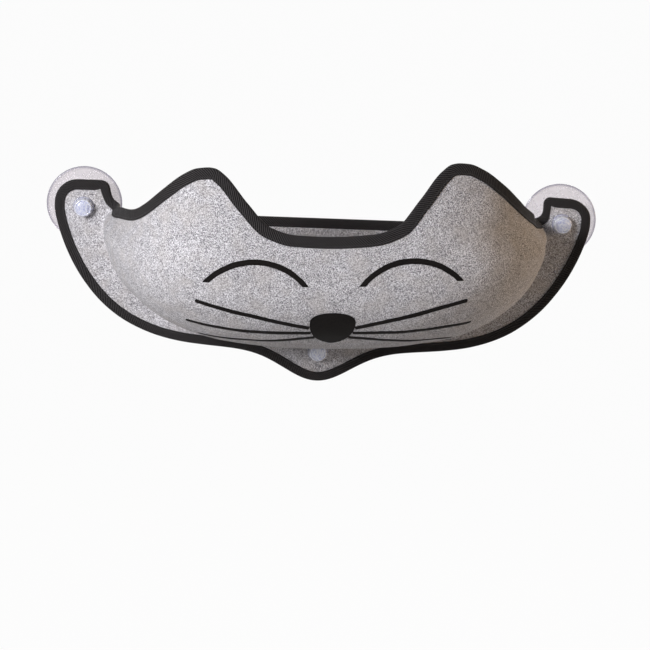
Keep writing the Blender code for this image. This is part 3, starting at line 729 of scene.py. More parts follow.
def flange_grid():
    """Flat strip from the fold out to the outline, bent near the notch to follow the tab's side."""
    inner = fold_grid()[:, -1][:, [0, 2]]
    tab = tab_outline()
    outer = np.concatenate([tab, lower_outline(len(inner) - len(tab))])
    w = shares(FLANGE_ROWS)[None, :, None]
    flat = inner[:, None] * (1 - w) + outer[:, None] * w
    bend = notch_side(inner[0], outer[0]) - flat[0]
    fade = np.clip(1 - np.arange(len(inner)) / NOTCH_FADE, 0.0, 1.0)[:, None, None] ** 2
    flat = flat + bend[None] * fade
    flat[-1, :, 0] = 0.0
    return at_depth(flat, flange_face)


print("flange grid", flange_grid().shape)

# %% [markdown]
# The studs pass through round holes. Each hole is made in the bare sheet: the cells round the stud
# are left out, and a ring of new cells joins the gap's edge to a true circle. That keeps the grid
# regular everywhere else.

# %% Stud holes
STUD_PLACES = {"left": (-cup_x, 0.0), "right": (cup_x, 0.0), "chin": (0.0, chin_cup_z)}
STUD_HOLE_RADIUS, HOLE_STEPS = 0.0045, 32
# How far the old cells are cleared and joined, in hole radii, and how square to y they have to be
HOLE_CLEARED, HOLE_JOINED, SQUARE_TO_Y = 1.8, 4.0, 0.99


def punched(mesh):
    """The sheet with a round hole at each stud; new cells look to the room, down y."""
    turn = np.arange(HOLE_STEPS) * 2 * pi / HOLE_STEPS
    across, up = STUD_HOLE_RADIUS * np.cos(turn), STUD_HOLE_RADIUS * np.sin(turn)

    def is_near(place, spot, reach):
        return np.hypot(place.x - spot[0], place.z - spot[1]) < reach * STUD_HOLE_RADIUS

    def change(work):
        for spot in STUD_PLACES.values():
            near = [f for f in work.faces if abs(f.normal.y) > SQUARE_TO_Y
                    and is_near(f.calc_center_median(), spot, HOLE_CLEARED)]
            bmesh.ops.delete(work, geom=near, context="FACES")
            edge = [e for e in work.edges if e.is_boundary
                    and all(is_near(v.co, spot, HOLE_JOINED) for v in e.verts)]
            level = np.mean([v.co.y for e in edge for v in e.verts])
            ring = [work.verts.new((spot[0] + a, level, spot[1] + b)) for a, b in zip(across, up)]
            edge += [work.edges.new(pair) for pair in zip(ring, ring[1:] + ring[:1])]
            new = bmesh.ops.bridge_loops(work, edges=edge)["faces"]
            work.normal_update()
            bmesh.ops.reverse_faces(work, faces=[f for f in new if f.normal.y > 0])

    edited(mesh, change).shade_smooth()
    return mesh


print("holes", list(STUD_PLACES))

# %% [markdown]
# The grids of both halves are waved, joined and hung, the holes are cut, and the sheet gets its
# thickness last, so that inside and outside stay the same distance apart everywhere.

# %% Moulded sheet
POD_MIDDLE, AWAY_SHARE_X, POD_SPAN = (0.0, flange_face - 0.05, 0.02), 0.9, 0.02


def mirrored(points):
    """The same points on the left half."""
    return points * np.array([-1.0, 1.0, 1.0])


def outward_of_pod(points):
    """Rough outward direction: away from the pod's middle line, and forward near the flange."""
    away = unit((points - np.array(POD_MIDDLE)) * [AWAY_SHARE_X, 1.0, 1.0])
    on_pod = rise(points[..., 1], flange_face, POD_SPAN)[..., None]
    return away * on_pod + np.array([0.0, 1.0, 0.0]) * (1 - on_pod)


def moulded_sheet():
    """All the grids of both halves as one welded sheet; the outer face looks out."""
    points, faces, count = [], [], 0
    for grid, flipped in ((rim_grid(), True), (bowl_grid(), False), (fold_grid(), True),
                          (flange_grid(), True)):
        for half, flip in ((grid, flipped), (mirrored(grid), not flipped)):
            rows, columns = half.shape[:2]
            points.append(wave_out(half, outward_of_pod(half)).reshape(-1, 3))
            faces.append(cells(rows, columns, flip, first=count))
            count += rows * columns
    mesh = mesh_of("moulded_felt", hung(np.concatenate(points)), np.concatenate(faces).tolist())
    return punched(welded(mesh))


moulded_felt = add_piece("moulded_felt", moulded_sheet(), "bed", "felt", "front_shell")
thicken(moulded_felt, felt_thickness, -1.0)

# %% [markdown]
# The flat back sheet fills the flange's outline up to a straight edge behind the pod. Its grid
# runs from that edge out to the outline, and the rays that serve the tabs start from the edge's
# ends.

# %% Back sheet
PANEL_ROWS, PANEL_COUNT = 40, 240
PANEL_TAB_SHARE, NOTCH_ROOM = 0.17, 0.007


def sheet_edge():
    """Free edge of the right flange, from the fold's top round the tab to the chin's tip."""
    flange = flange_grid()
    return np.concatenate([flange[0, :-1], flange[:, -1]])[:, [0, 2]]


def both_halves(line):
    """A line from the right down to the middle, and on along its mirror image."""
    return np.concatenate([line, (line * [-1, 1])[::-1][1:]])


def back_sheet():
    """Rays from the straight edge to the outline, both taken from right to left."""
    edge = sheet_edge()
    low_x = wall_point(fold_angle, np.array([back_top]))[0][0] + fold_radius + back_step
    keep = np.cumsum(edge[:, 0] > edge[0, 0] + NOTCH_ROOM) > 0
    right = np.concatenate([[[low_x, back_top]], edge[keep]])
    outline = evenly(both_halves(right), PANEL_COUNT + 1)
    share = shares(PANEL_COUNT)
    across = np.clip((share - PANEL_TAB_SHARE) / (1 - 2 * PANEL_TAB_SHARE), 0.0, 1.0)
    start = np.stack([low_x * (1 - 2 * across), np.full_like(across, back_top)], 1)
    w = shares(PANEL_ROWS)[:, None, None]
    flat = start[None] * (1 - w) + outline[None] * w
    points = hung(at_depth(flat, back_face + felt_thickness))
    mesh = punched(welded(mesh_of("back_felt", points, cells(*flat.shape[:2]).tolist())))
    return facing_room(mesh)


back_felt = add_piece("back_felt", back_sheet(), "bed", "felt", "back_panel")
thicken(back_felt, felt_thickness, -1.0)

# %% [markdown]
# Black tape is folded over every free edge and sewn through. Its section is one closed outline: a
# front leg with a shallow dent under the seam, a round fold past the felt's edge, a back leg, and
# the inner skin that lies on the felt. One tape goes all the way round, along the rim and then
# round the flange, and it grows thicker beside the notch, where it takes in the second sheet too.

# %% Tape section
TAPE_LEG, TAPE_THICKNESS, TAPE_REACH = 0.0112, 0.0010, 0.0013
TAPE_STEP = 0.0024
SEAM_FROM_EDGE, SEAM_DENT, SEAM_HALF_WIDTH = 0.0024, 0.00028, 0.0006
FOLD_POINTS, FOLD_ANGLE, FOLD_CENTRE = 9, 84, 0.0012


def tape_leg():
    """Inward distance and lift of the front leg, from its edge over the seam to the fold."""
    top = clearance + TAPE_THICKNESS
    seam = TAPE_LEG - SEAM_FROM_EDGE
    return np.array([[TAPE_LEG, clearance + 0.0002], [TAPE_LEG + 0.0001, clearance + 0.0006],
                     [TAPE_LEG - 0.0003, top - 0.00006], [TAPE_LEG - 0.0011, top],
                     [seam + SEAM_HALF_WIDTH, top - 0.3 * SEAM_DENT], [seam, top - SEAM_DENT],
                     [seam - SEAM_HALF_WIDTH, top - 0.3 * SEAM_DENT],
                     [TAPE_LEG - 0.0045, top + 0.0001], [TAPE_LEG * 0.40, top + 0.00015],
                     [TAPE_LEG * 0.22, top + 0.0001]])


def lift_of(section, sheets):
    """Height of the section's points over the front felt, with the felt's thickness inside."""
    return section[:, 2] - (1 - section[:, 1]) * sheets


def tape_section():
    """Points of the section as inward distance, side (1 front, 0 back), lift and distance across.

    The fold is half an ellipse. The back leg is the front leg mirrored.
    """
    leg, top = tape_leg(), clearance + TAPE_THICKNESS
    phi = np.radians(np.linspace(FOLD_ANGLE, -FOLD_ANGLE, FOLD_POINTS))
    fold = np.stack([FOLD_CENTRE - (FOLD_CENTRE + TAPE_REACH) * np.cos(phi),
                     0.5 + 0.5 * np.sin(phi), top * np.sin(phi)], 1)
    front = np.stack([leg[:, 0], np.ones(len(leg)), leg[:, 1]], 1)
    back = np.stack([leg[::-1, 0], np.zeros(len(leg)), -leg[::-1, 1]], 1)
    skin = np.array([TAPE_LEG, TAPE_LEG / 2, -0.0002])
    skin_back = np.stack([skin, np.zeros(3), np.full(3, -clearance)], 1)
    skin_front = np.stack([skin[::-1], np.ones(3), np.full(3, clearance)], 1)
    points = np.concatenate([front, fold, back, skin_back, skin_front])
    width = run_along(points[:, 0], lift_of(points, felt_thickness))
    return np.concatenate([points, width[:, None]], 1)


SECTION = tape_section()
LEG_POINTS = len(tape_leg())
print("points in the section", len(SECTION))

# %% [markdown]
# A tape that turns a tight corner puckers, so its inward direction is blurred a little along the
# path. Its legs are longer on the rim, where they wrap one sheet, and squeezed beside the notch.

# %% Tape along a path
RIM_LEG_MORE = 0.0011
NOTCH_SQUEEZE, NOTCH_REACH = 0.32, 0.024
PUCKER_ROWS = 1.6


def blurred(rows, width):
    """Each row as the bell-weighted mean of its neighbours; width is the bell's in rows."""
    reach = int(3 * width)
    weights = np.exp(-0.5 * (np.arange(-reach, reach + 1) / width) ** 2)
    weights /= weights.sum()
    padded = np.concatenate([np.repeat(rows[:1], reach, 0), rows, np.repeat(rows[-1:], reach, 0)])
    return np.stack([np.convolve(column, weights, "valid") for column in padded.T], 1)


def rightward(path):
    """Unit directions to the right of a flat path's run, where the felt lies."""
    ahead = unit(np.gradient(path, axis=0))
    return np.stack([ahead[:, 1], -ahead[:, 0]], 1)


def leg_reach(section, more, to_notch):
    """Inward distances by row: longer by a given length, and squeezed near the notch's corner."""
    scale = (1 + more / TAPE_LEG) * (1 - NOTCH_SQUEEZE * bell(to_notch / NOTCH_REACH))
    legs = np.clip(section[:, 0], 0.0, None)
    return section[None, :, 0] + legs[None, :] * (scale[:, None] - 1)


def evenly_stepped(path):
    """The path in steps of the tape's rows."""
    return evenly(path, int(run_along(*path.T)[-1] / TAPE_STEP))


print("rim leg", round((TAPE_LEG + RIM_LEG_MORE) * 1000, 1), "mm")

# %% [markdown]
# The rim's tape is laid out in the unrolled sheet, as distance along the rim and height, and then
# bent onto the wall and the fold. That keeps its width true however the wall curves.

# %% Rim tape
FOLD_RUN = fold_radius * pi / 2
SLOPE_STEP, RIM_STEPS = 2e-4, 1200


def rim_place(run, z):
    """Point of the outer face by distance along the rim: on the wall, the fold or beyond it."""
    x, depth = wall_point(np.interp(run, run_fine, theta_fine), z)
    turn = np.clip((run - rim_length) / fold_radius, 0.0, pi / 2)
    out = fold_radius * (1 - np.cos(turn)) + np.clip(run - rim_length - FOLD_RUN, 0.0, None)
    depth = np.where(run > rim_length, flange_face + fold_radius * (1 - np.sin(turn)), depth)
    return np.stack([x + out, depth, np.broadcast_to(z, x.shape)], -1)


def rim_frame(run, z):
    """Place and outward normal for signed distances: the cross product of the two slopes."""
    flip = np.where(run < 0, -1.0, 1.0)[..., None] * [1, 0, 0] + [0, 1, 1]
    run = np.abs(run)
    along = rim_place(run + SLOPE_STEP, z) - rim_place(np.abs(run - SLOPE_STEP), z)
    along[..., 0] = np.where(run < SLOPE_STEP, 2 * SLOPE_STEP, along[..., 0])
    up = rim_place(run, z + SLOPE_STEP) - rim_place(run, z - SLOPE_STEP)
    normal = unit(np.cross(up, along))
    normal *= np.where(normal[..., 1:2] < 0, -1.0, 1.0)
    return rim_place(run, z) * flip, normal * flip


def rim_tape_rows(section):
    """Sections along the rim from the left fold to the right one."""
    run = np.linspace(0.0, rim_length, RIM_STEPS)
    line = np.stack([run, rim_height(run)], 1)
    line = np.concatenate([line, [[rim_length + FOLD_RUN, notch_height]]])
    line = evenly_stepped(np.concatenate([line[:0:-1] * [-1, 1], line]))
    way = blurred(rightward(line), PUCKER_ROWS)
    run = run_along(*line.T)
    reach = leg_reach(section, RIM_LEG_MORE, np.minimum(run, run[-1] - run))
    at = line[:, None] + way[:, None] * reach[..., None]
    place, normal = rim_frame(at[..., 0], at[..., 1])
    return wave_out(place, normal) + normal * lift_of(section, felt_thickness)[None, :, None]


rim_rows = rim_tape_rows(SECTION)
print("rows of rim tape", len(rim_rows))

# %% [markdown]
# On the flange the path is flat. Its first sections lean with the fold's line, so that they meet
# the rim's last ones, and the felt inside the tape grows from one sheet to two over a few
# millimetres.

# %% Flange tape
SHEETS_GROW, LEAN_FADE = 0.014, 0.010
DOWN = (0.0, -1.0)


def flange_tape_rows(section):
    """Sections from the right fold round both tabs and the chin to the left fold."""
    path = evenly_stepped(both_halves(sheet_edge()))
    way = rightward(path)
    way[[0, -1]] = DOWN
    way = blurred(way, PUCKER_ROWS)
    way[[0, -1]] = DOWN
    run = run_along(*path.T)
    to_end = np.minimum(run, run[-1] - run)
    both = soft_step(to_end / SHEETS_GROW)
    sheets = felt_thickness + (felt_thickness + clearance) * both[:, None]
    reach = leg_reach(section, RIM_LEG_MORE * (1 - both), to_end)
    lean, _ = wall_point(np.full(len(section), fold_angle), notch_height - reach[0])
    start, _ = wall_point(fold_angle, np.array([notch_height]))
    lean = (lean - start[0])[None, :] * soft_step(1 - to_end / LEAN_FADE)[:, None]
    lean *= np.where(path[:, 0] < 0, -1.0, 1.0)[:, None]
    flat = path[:, None] + way[:, None] * reach[..., None]
    flat[..., 0] += lean
    place = at_depth(flat, flange_face)
    place[..., 1] += felt_wave(place) + lift_of(section, sheets)
    return place


flange_rows = flange_tape_rows(SECTION)
gap = np.abs(flange_rows[0] - rim_rows[-1]).max()
print("rows of flange tape", len(flange_rows), "mismatch at the fold mm", round(gap * 1000, 3))

# %% [markdown]
# Where rim and flange meet, the sections turn sharply. Their offsets from the tape's edge are
# blurred there, which rounds the tape as a sewn corner is rounded. The back sheet's straight top
# edge has a short tape of its own.

# %% One tape all round
FOLD_MIDDLE = LEG_POINTS + FOLD_POINTS // 2
EASED_ROWS, EASED_OFFSETS, EASED_EDGE = 7.0, 3.0, 1.8


def eased(rows, joint):
    """Near a joint of the loop, each section's offsets from the edge become blurred means."""
    half = len(rows) // 2
    rows = np.roll(rows, half - joint, 0)
    edge = rows[:, FOLD_MIDDLE:FOLD_MIDDLE + 1]
    offsets = rows - edge
    soft = blurred(offsets.reshape(len(rows), -1), EASED_OFFSETS).reshape(rows.shape)
    near = bell((np.arange(len(rows)) - half) / EASED_ROWS)[:, None, None]
    edge = edge * (1 - near) + blurred(edge[:, 0], EASED_EDGE)[:, None] * near
    return np.roll(edge + offsets * (1 - near) + soft * near, joint - half, 0)


def back_tape_rows(section):
    """Sections along the back sheet's straight top edge, from left to right."""
    reach = fold_grid()[0, -1, 0] - fold_radius - felt_thickness + TAPE_THICKNESS
    x = np.linspace(-reach, reach, int(2 * reach / TAPE_STEP))[:, None]
    depth = back_face + felt_thickness + lift_of(section, felt_thickness)
    return np.stack(np.broadcast_arrays(x, depth, back_top - section[:, 0]), -1)


back_rows = back_tape_rows(SECTION)
edge_rows = np.concatenate([rim_rows, flange_rows[1:-1]])
edge_rows = eased(eased(edge_rows, 0), len(rim_rows) - 1)
print("rows of the tape all round", len(edge_rows), "of the short tape", len(back_rows))

# %% [markdown]
# A tape is a tube: its rows are joined to each other and, on the closed tape, back to the first.
# Its UV map holds the distance along the tape and across it in metres, so the weave follows the
# tape.

# %% Tape meshes
OUTER_POINTS = 20


def tube_mesh(name, rows, loop):
    """Quads between sections; an open tube gets a cap of the section's own corners at each end."""
    count, width = rows.shape[:2]
    i, j = np.meshgrid(np.arange(count if loop else count - 1), np.arange(width), indexing="ij")
    after, beside = (i + 1) % count, (j + 1) % width
    quads = np.stack([i * width + j, i * width + beside, after * width + beside,
                      after * width + j], -1).reshape(-1, 4).tolist()
    run = run_along(*rows[:, :OUTER_POINTS].mean(1).T)
    run = np.append(run, run[-1] + TAPE_STEP)
    across = np.append(SECTION[:, 3], SECTION[-1, 3] + TAPE_THICKNESS)
    u = np.stack([run[i], run[i], run[i + 1], run[i + 1]], -1)
    v = np.stack([across[j], across[j + 1], across[j + 1], across[j]], -1)
    uv = np.stack([u, v], -1).reshape(-1, 2)
    if not loop:
        k = np.arange(width // 2 - 1)
        cap = np.stack([k, (width - 1 - k), (width - 2 - k), k + 1], -1)
        quads += cap.tolist() + (cap[:, ::-1] + (count - 1) * width).tolist()
        uv = np.concatenate([uv, np.zeros((8 * len(cap), 2))])
    mesh = mesh_of(name, hung(rows), quads)
    layer = mesh.uv_layers.new(name="tape")
    layer.data.foreach_set("uv", uv.astype(np.float32).ravel())
    mesh.update()
    mesh.shade_smooth()
    return facing_out(mesh)


edge_tape = add_piece("edge_tape", tube_mesh("edge_tape", edge_rows, True), "bed", "binding_tape",
                      "rim_binding", "perimeter_binding")
back_tape = add_piece("back_tape", tube_mesh("back_tape", back_rows, False), "bed",
                      "binding_tape", "back_binding")

# %% [markdown]
# The seam shows as a row of short stitches that dip into the tape at both ends. One stitch is a
# small rounded bar of thirty faces, because there are more than a thousand of them.

# %% One stitch
STITCH_PITCH, STITCH_LENGTH, STITCH_RADIUS = 0.0032, 0.0026, 0.00028
# The bar's four rings: place along it in lengths, then size and sinking in radii
STITCH_RINGS = np.array([[-0.42, 0.75, -0.35], [-0.16, 1.0, 0.15], [0.16, 1.0, 0.15],
                         [0.42, 0.75, -0.35]])
STITCH_SIDES = 6


def stitch_bar():
    """Points and faces of a bar of four rings and a point at each end, lower than its middle."""
    along = STITCH_RINGS[:, :1] * STITCH_LENGTH
    size, sink = STITCH_RINGS[:, 1:2] * STITCH_RADIUS, STITCH_RINGS[:, 2:] * STITCH_RADIUS
    turn = np.arange(STITCH_SIDES) * 2 * pi / STITCH_SIDES
    rings = np.stack(np.broadcast_arrays(along, size * np.cos(turn), size * np.sin(turn) + sink),
                     -1).reshape(-1, 3)
    ends = np.array([[way * STITCH_LENGTH / 2, 0.0, -0.8 * STITCH_RADIUS] for way in (-1, 1)])
    k = np.arange(STITCH_SIDES)
    after = (k + 1) % STITCH_SIDES
    last = len(rings) - STITCH_SIDES
    first_cap = np.stack([np.full(STITCH_SIDES, len(rings)), after, k], -1)
    last_cap = np.stack([np.full(STITCH_SIDES, len(rings) + 1), last + k, last + after], -1)
    sides = cells(len(STITCH_RINGS), STITCH_SIDES, around=True)
    return np.concatenate([rings, ends]), (sides, first_cap, last_cap)


print("points in a stitch", len(stitch_bar()[0]))

# %% [markdown]
# Numpy then sets a copy of the bar down at every step of the seam, turned to lie along it. The
# seam is the line of the section's dent, on the front and on the back of both tapes.

# %% Stitches
SEAM_POINT = 5
SEAM_POINTS = (SEAM_POINT, 2 * LEG_POINTS + FOLD_POINTS - 1 - SEAM_POINT)
SEAM_STEP = 5e-4


def seam_stitches(line, out):
    """World points and faces of the bars along a seam, given its points and outward ways."""
    run = run_along(*line.T)
    count = int(run[-1] / STITCH_PITCH)
    at = (np.arange(count) + 0.5) * run[-1] / count
    ahead = unit(sampled(line, run, at + SEAM_STEP) - sampled(line, run, at - SEAM_STEP))
    normal = unit(sampled(out, run, at))
    bar, parts = stitch_bar()
    points = sampled(line, run, at)[:, None] + sum(
        way[:, None] * bar[None, :, axis:axis + 1]
        for axis, way in enumerate((ahead, np.cross(normal, ahead), normal)))
    shift = np.arange(count)[:, None, None] * len(bar)
    faces = [(part[None] + shift).reshape(-1, part.shape[1]) for part in parts]
    return points.reshape(-1, 3), faces


def seams_of(rows, loop):
    """Front and back seam lines of a tape's world rows and their outward directions."""
    found = []
    for column in SEAM_POINTS:
        line = rows[:, column]
        across = rows[:, column + 1] - rows[:, column - 1]
        out = unit(np.cross(np.gradient(line, axis=0), across))
        out *= np.sign(np.median(((line - rows.mean(1)) * out).sum(1)))
        if loop:
            line, out = np.concatenate([line, line[:1]]), np.concatenate([out, out[:1]])
        found.append((line, out))
    return found


def stitched():
    """All seams' stitches as one mesh."""
    points, faces, count = [], [], 0
    for line, out in seams_of(hung(edge_rows), True) + seams_of(hung(back_rows), False):
        some, parts = seam_stitches(line, out)
        points.append(some)
        for part in parts:
            faces += (part + count).tolist()
        count += len(some)
    mesh = mesh_of("tape_stitches", np.concatenate(points), faces)
    mesh.shade_smooth()
    return facing_out(mesh)


tape_stitches = add_piece("tape_stitches", stitched(), "bed", "binding_tape")

# %% [markdown]
# The face is printed in black on the felt. Each mark is a thin patch that follows the pod, a tenth
# of a millimetre proud of it, and its edge wanders a little, as ink does along felt fibres.

# %% Printed patches
PRINT_LIFT, PRINT_THICKNESS, INK_WANDER = 0.00012, 0.00022, 0.00010
FACE_STEP, WANDER_ROWS, WANDER_SIZE = 1e-4, 1.5, 2.0
ink = np.random.default_rng(11)


def face_frame(x, z):
    """Place on the outer face and its outward normal, from the slopes of the depth."""
    slope_x = (depth_over(x + FACE_STEP, z) - depth_over(x - FACE_STEP, z)) / (2 * FACE_STEP)
    slope_z = (depth_over(x, z + FACE_STEP) - depth_over(x, z - FACE_STEP)) / (2 * FACE_STEP)
    normal = unit(np.stack([-slope_x, np.ones_like(slope_x), -slope_z], -1))
    return np.stack([x, depth_over(x, z), z], -1), normal


def wander(count):
    """A smooth random line of the given length, of about one unit."""
    return blurred(ink.normal(size=(count, 1)), WANDER_ROWS)[:, 0] * WANDER_SIZE


def add_print(name, x, z):
    """Patch of ink on a grid of (x, z) points, given its thickness."""
    place, normal = face_frame(x, z)
    points = hung(wave_out(place, outward_of_pod(place)) + normal * PRINT_LIFT)
    mesh = facing_room(welded(mesh_of(name + "_ink", points, cells(*x.shape).tolist())))
    patch = add_piece(name + "_ink", mesh, "bed", "face_print", name)
    thicken(patch, PRINT_THICKNESS, 1.0)
    return patch


print("ink stands", PRINT_LIFT * 1000, "mm proud")

# %% [markdown]
# The closed eyes are arcs of equal radius, a little tilted outward and a little narrower towards
# their ends, which all stop at the same level.

# %% Eyes
STEPS_ALONG, EYE_ROWS = 121, 7
eye_radius, eye_half_spread, eye_middle_x, eye_top = 0.075, 0.0582, 0.0915, -0.0044
eye_stroke, eye_end_stroke, eye_tilt = 0.0070, 0.0062, radians(2.0)
RIGHT_EYE_SHIFT = -0.0026


def eye_points(way):
    """Rings of an arc between two radii; each ring ends at the same level, and all is tilted."""
    share = np.linspace(-1.0, 1.0, STEPS_ALONG)[:, None]
    across = np.linspace(-0.5, 0.5, EYE_ROWS)[None, :]
    width = eye_stroke + (eye_end_stroke - eye_stroke) * share ** 2
    inner, outer = wander(STEPS_ALONG)[:, None], wander(STEPS_ALONG)[:, None]
    wobble = inner * np.clip(-2 * across, 0.0, 1.0) + outer * np.clip(2 * across, 0.0, 1.0)
    radius = eye_radius + across * width + wobble * INK_WANDER
    level = np.sqrt(eye_radius ** 2 - eye_half_spread ** 2)
    turn = share * np.arccos(level / radius[[0]].mean(0, keepdims=True))
    along, height = radius * np.sin(turn), radius * np.cos(turn) - eye_radius
    tilt = eye_tilt * way
    x = way * eye_middle_x + along * np.cos(tilt) - height * np.sin(tilt)
    x = x + (RIGHT_EYE_SHIFT if way > 0 else 0.0)
    return x, eye_top - eye_stroke / 2 + along * np.sin(tilt) + height * np.cos(tilt)


prints = [add_print("left_eye", *eye_points(-1.0)), add_print("right_eye", *eye_points(1.0))]

# %% [markdown]
# The nose is a rounded wedge: its half width is given at every share of its height, so one grid of
# rows fills it.

# %% Nose
nose_half_width, nose_top, nose_height = 0.027, -0.071, 0.0475
NOSE_ROUND_TOP, NOSE_TOP_POWER, NOSE_LOW_POWERS = 0.30, 2.6, (2.4, 0.62)
NOSE_SHIFT, NOSE_ROWS, NOSE_COLUMNS = -0.0014, 61, 41
NOSE_BEGINS, NOSE_ENDS = 0.004, 0.997


def nose_half(share):
    """Half width at a share of the height: a round top and a fuller, rounded wedge below."""
    top = np.clip(share / NOSE_ROUND_TOP, 0.0, 1.0)
    bottom = np.clip((share - NOSE_ROUND_TOP) / (1 - NOSE_ROUND_TOP), 0.0, 1.0)
    inner, outer = NOSE_LOW_POWERS
    return (nose_half_width * np.sqrt(1 - (1 - top) ** NOSE_TOP_POWER)
            * (1 - bottom ** inner) ** outer)


def nose_points():
    """Rows from top to tip, closer at both ends, each from one side of the nose to the other."""
    share = 0.5 - 0.5 * np.cos(pi * np.linspace(NOSE_BEGINS, NOSE_ENDS, NOSE_ROWS))
    across = np.sin(np.linspace(-pi / 2, pi / 2, NOSE_COLUMNS))
    x = nose_half(share)[:, None] * across[None, :] + NOSE_SHIFT
    return x, np.broadcast_to((nose_top - nose_height * share)[:, None], x.shape)


prints.append(add_print("nose", *nose_points()))

# %% [markdown]
# Each whisker is a line bent through three heights and widened square to itself on the pod. Hand
# and eye placed them, so the two sides differ by a few millimetres.

# %% Whiskers
# Each whisker: its height at the nose, halfway and at the tip, the tip's x, and its two widths
WHISKERS = {
    "left_whisker_upper": (-0.0930, -0.0762, -0.0584, -0.1628, 0.0064, 0.0054),
    "left_whisker_middle": (-0.1008, -0.0990, -0.0912, -0.1738, 0.0068, 0.0062),
    "left_whisker_lower": (-0.1083, -0.1160, -0.1153, -0.1580, 0.0070, 0.0062),
    "right_whisker_upper": (-0.0930, -0.0762, -0.0588, 0.1575, 0.0064, 0.0056),
    "right_whisker_middle": (-0.1008, -0.0992, -0.0930, 0.1675, 0.0066, 0.0056),
    "right_whisker_lower": (-0.1078, -0.1158, -0.1205, 0.1500, 0.0066, 0.0050),
}
WHISKER_GAP, WHISKER_ROWS = 0.0006, 5
TIP_NARROWS, TIP_BEGINS = 0.6, 0.992


def whisker_points(root_z, middle_z, tip_z, tip_x, stroke, tip_stroke):
    """A parabola widened square to itself on the pod; its far end is rounded off a little."""
    root_x = nose_half(np.array([(nose_top - root_z) / nose_height]))[0] + WHISKER_GAP
    root_x = np.sign(tip_x) * root_x + NOSE_SHIFT
    t = np.linspace(0.0, 1.0, STEPS_ALONG)
    x = root_x + (tip_x - root_x) * t
    z = root_z + (tip_z - root_z) * t + 4 * (middle_z - (root_z + tip_z) / 2) * t * (1 - t)
    place, normal = face_frame(x, z)
    across = unit(np.cross(normal, np.gradient(place, axis=0)))
    width = stroke + (tip_stroke - stroke) * t ** 2
    width = width * (1 - TIP_NARROWS * np.clip((t - TIP_BEGINS) / (1 - TIP_BEGINS), 0, 1) ** 2)
    edge = np.zeros((STEPS_ALONG, WHISKER_ROWS))
    edge[:, 0], edge[:, -1] = wander(STEPS_ALONG), wander(STEPS_ALONG)
    reach = width[:, None] * np.linspace(-0.5, 0.5, WHISKER_ROWS) + edge * INK_WANDER
    return x[:, None] + across[:, None, 0] * reach, z[:, None] + across[:, None, 2] * reach


prints += [add_print(name, *whisker_points(*shape)) for name, shape in WHISKERS.items()]

# %% [markdown]
# Cups, studs, washers and nuts are turned shapes: a profile of radius and depth carried round an
# axis. Where a thread or finger grips break the round, the radius also depends on the angle. Each
# point keeps its distance from the axis, as a share of the piece's radius, in an attribute that
# the clear plastic uses to tint rims, and on the nuts to paint a highlight on the rim.

# %% Turned shapes
SHARP_EDGE = radians(50)


def turned(name, profile, place, around, shape=None):
    """Rings of the profile's radius at each angle, which shape(radius, depth, angle) may change."""
    angle = np.arange(around) * 2 * pi / around
    radius = np.repeat(profile[:, :1], around, 1)
    depth = np.repeat(profile[:, 1:2], around, 1)
    if shape is not None:
        radius = shape(radius, depth, angle[None, :])
    points = np.stack([place[0] + radius * np.cos(angle), -depth,
                       place[1] + radius * np.sin(angle)], -1)
    mesh = mesh_of(name, points, cells(*radius.shape, around=True).tolist())
    share = mesh.attributes.new("from_axis", "FLOAT", "POINT")
    share.data.foreach_set("value", (radius / radius.max()).astype(np.float32).ravel())
    facing_out(welded(mesh, 1e-6, 1e-7))
    mesh.set_sharp_from_angle(angle=SHARP_EDGE)
    return mesh


def rounded(corners, radii, steps):
    """Profile through corners whose bends are rounded by a quadratic curve of the given reach."""
    corners = np.asarray(corners, float)
    line = [corners[:1]]
    t = np.linspace(0.0, 1.0, steps)[:, None]
    for before, corner, after, reach in zip(corners, corners[1:], corners[2:], radii):
        start, end = corner + unit(before - corner) * reach, corner + unit(after - corner) * reach
        line.append((1 - t) ** 2 * start + 2 * t * (1 - t) * corner + t ** 2 * end)
    line.append(corners[-1:])
    return np.concatenate(line)


print("a rounded corner", rounded([(0, 0), (1, 0), (1, 1)], [0.5], 3)[2])

# %% [markdown]
# A suction cup has a thick neck, a thin dome that falls to the lip, and a flat ring round a
# shallow pocket that meets the pane. It is soft vinyl moulded in one piece with a socket for the
# stud's foot.

# %% Cup profile
CUP_HEIGHT, CUP_LIP, CUP_NECK, POCKET_DEPTH = 0.018, 0.0012, 0.012, 0.003
CUP_RADII = {"left": (0.048, 0.029), "right": (0.048, 0.029), "chin": (0.040, 0.023)}
STUD_RADIUS, STUD_FOOT_RADIUS, STUD_FOOT, STUD_NECK = 0.004, 0.0065, 0.0044, 0.004
BORE_RADIUS = STUD_RADIUS + clearance
NECK_BOTTOM, DOME_TOP, DOME_POWER, DOME_STEPS = 0.7, 0.62, 2.1, 44
# The dome's two beads: how far each rises, its place from the lip or the pocket, and half its width
LIP_BEAD, POCKET_BEAD = (0.0006, -0.0018, 0.0012), (0.0003, 0.0025, 0.0009)
LIP_RADIUS, POCKET_STEPS, POCKET_POWER = 0.0006, 24, 1.5


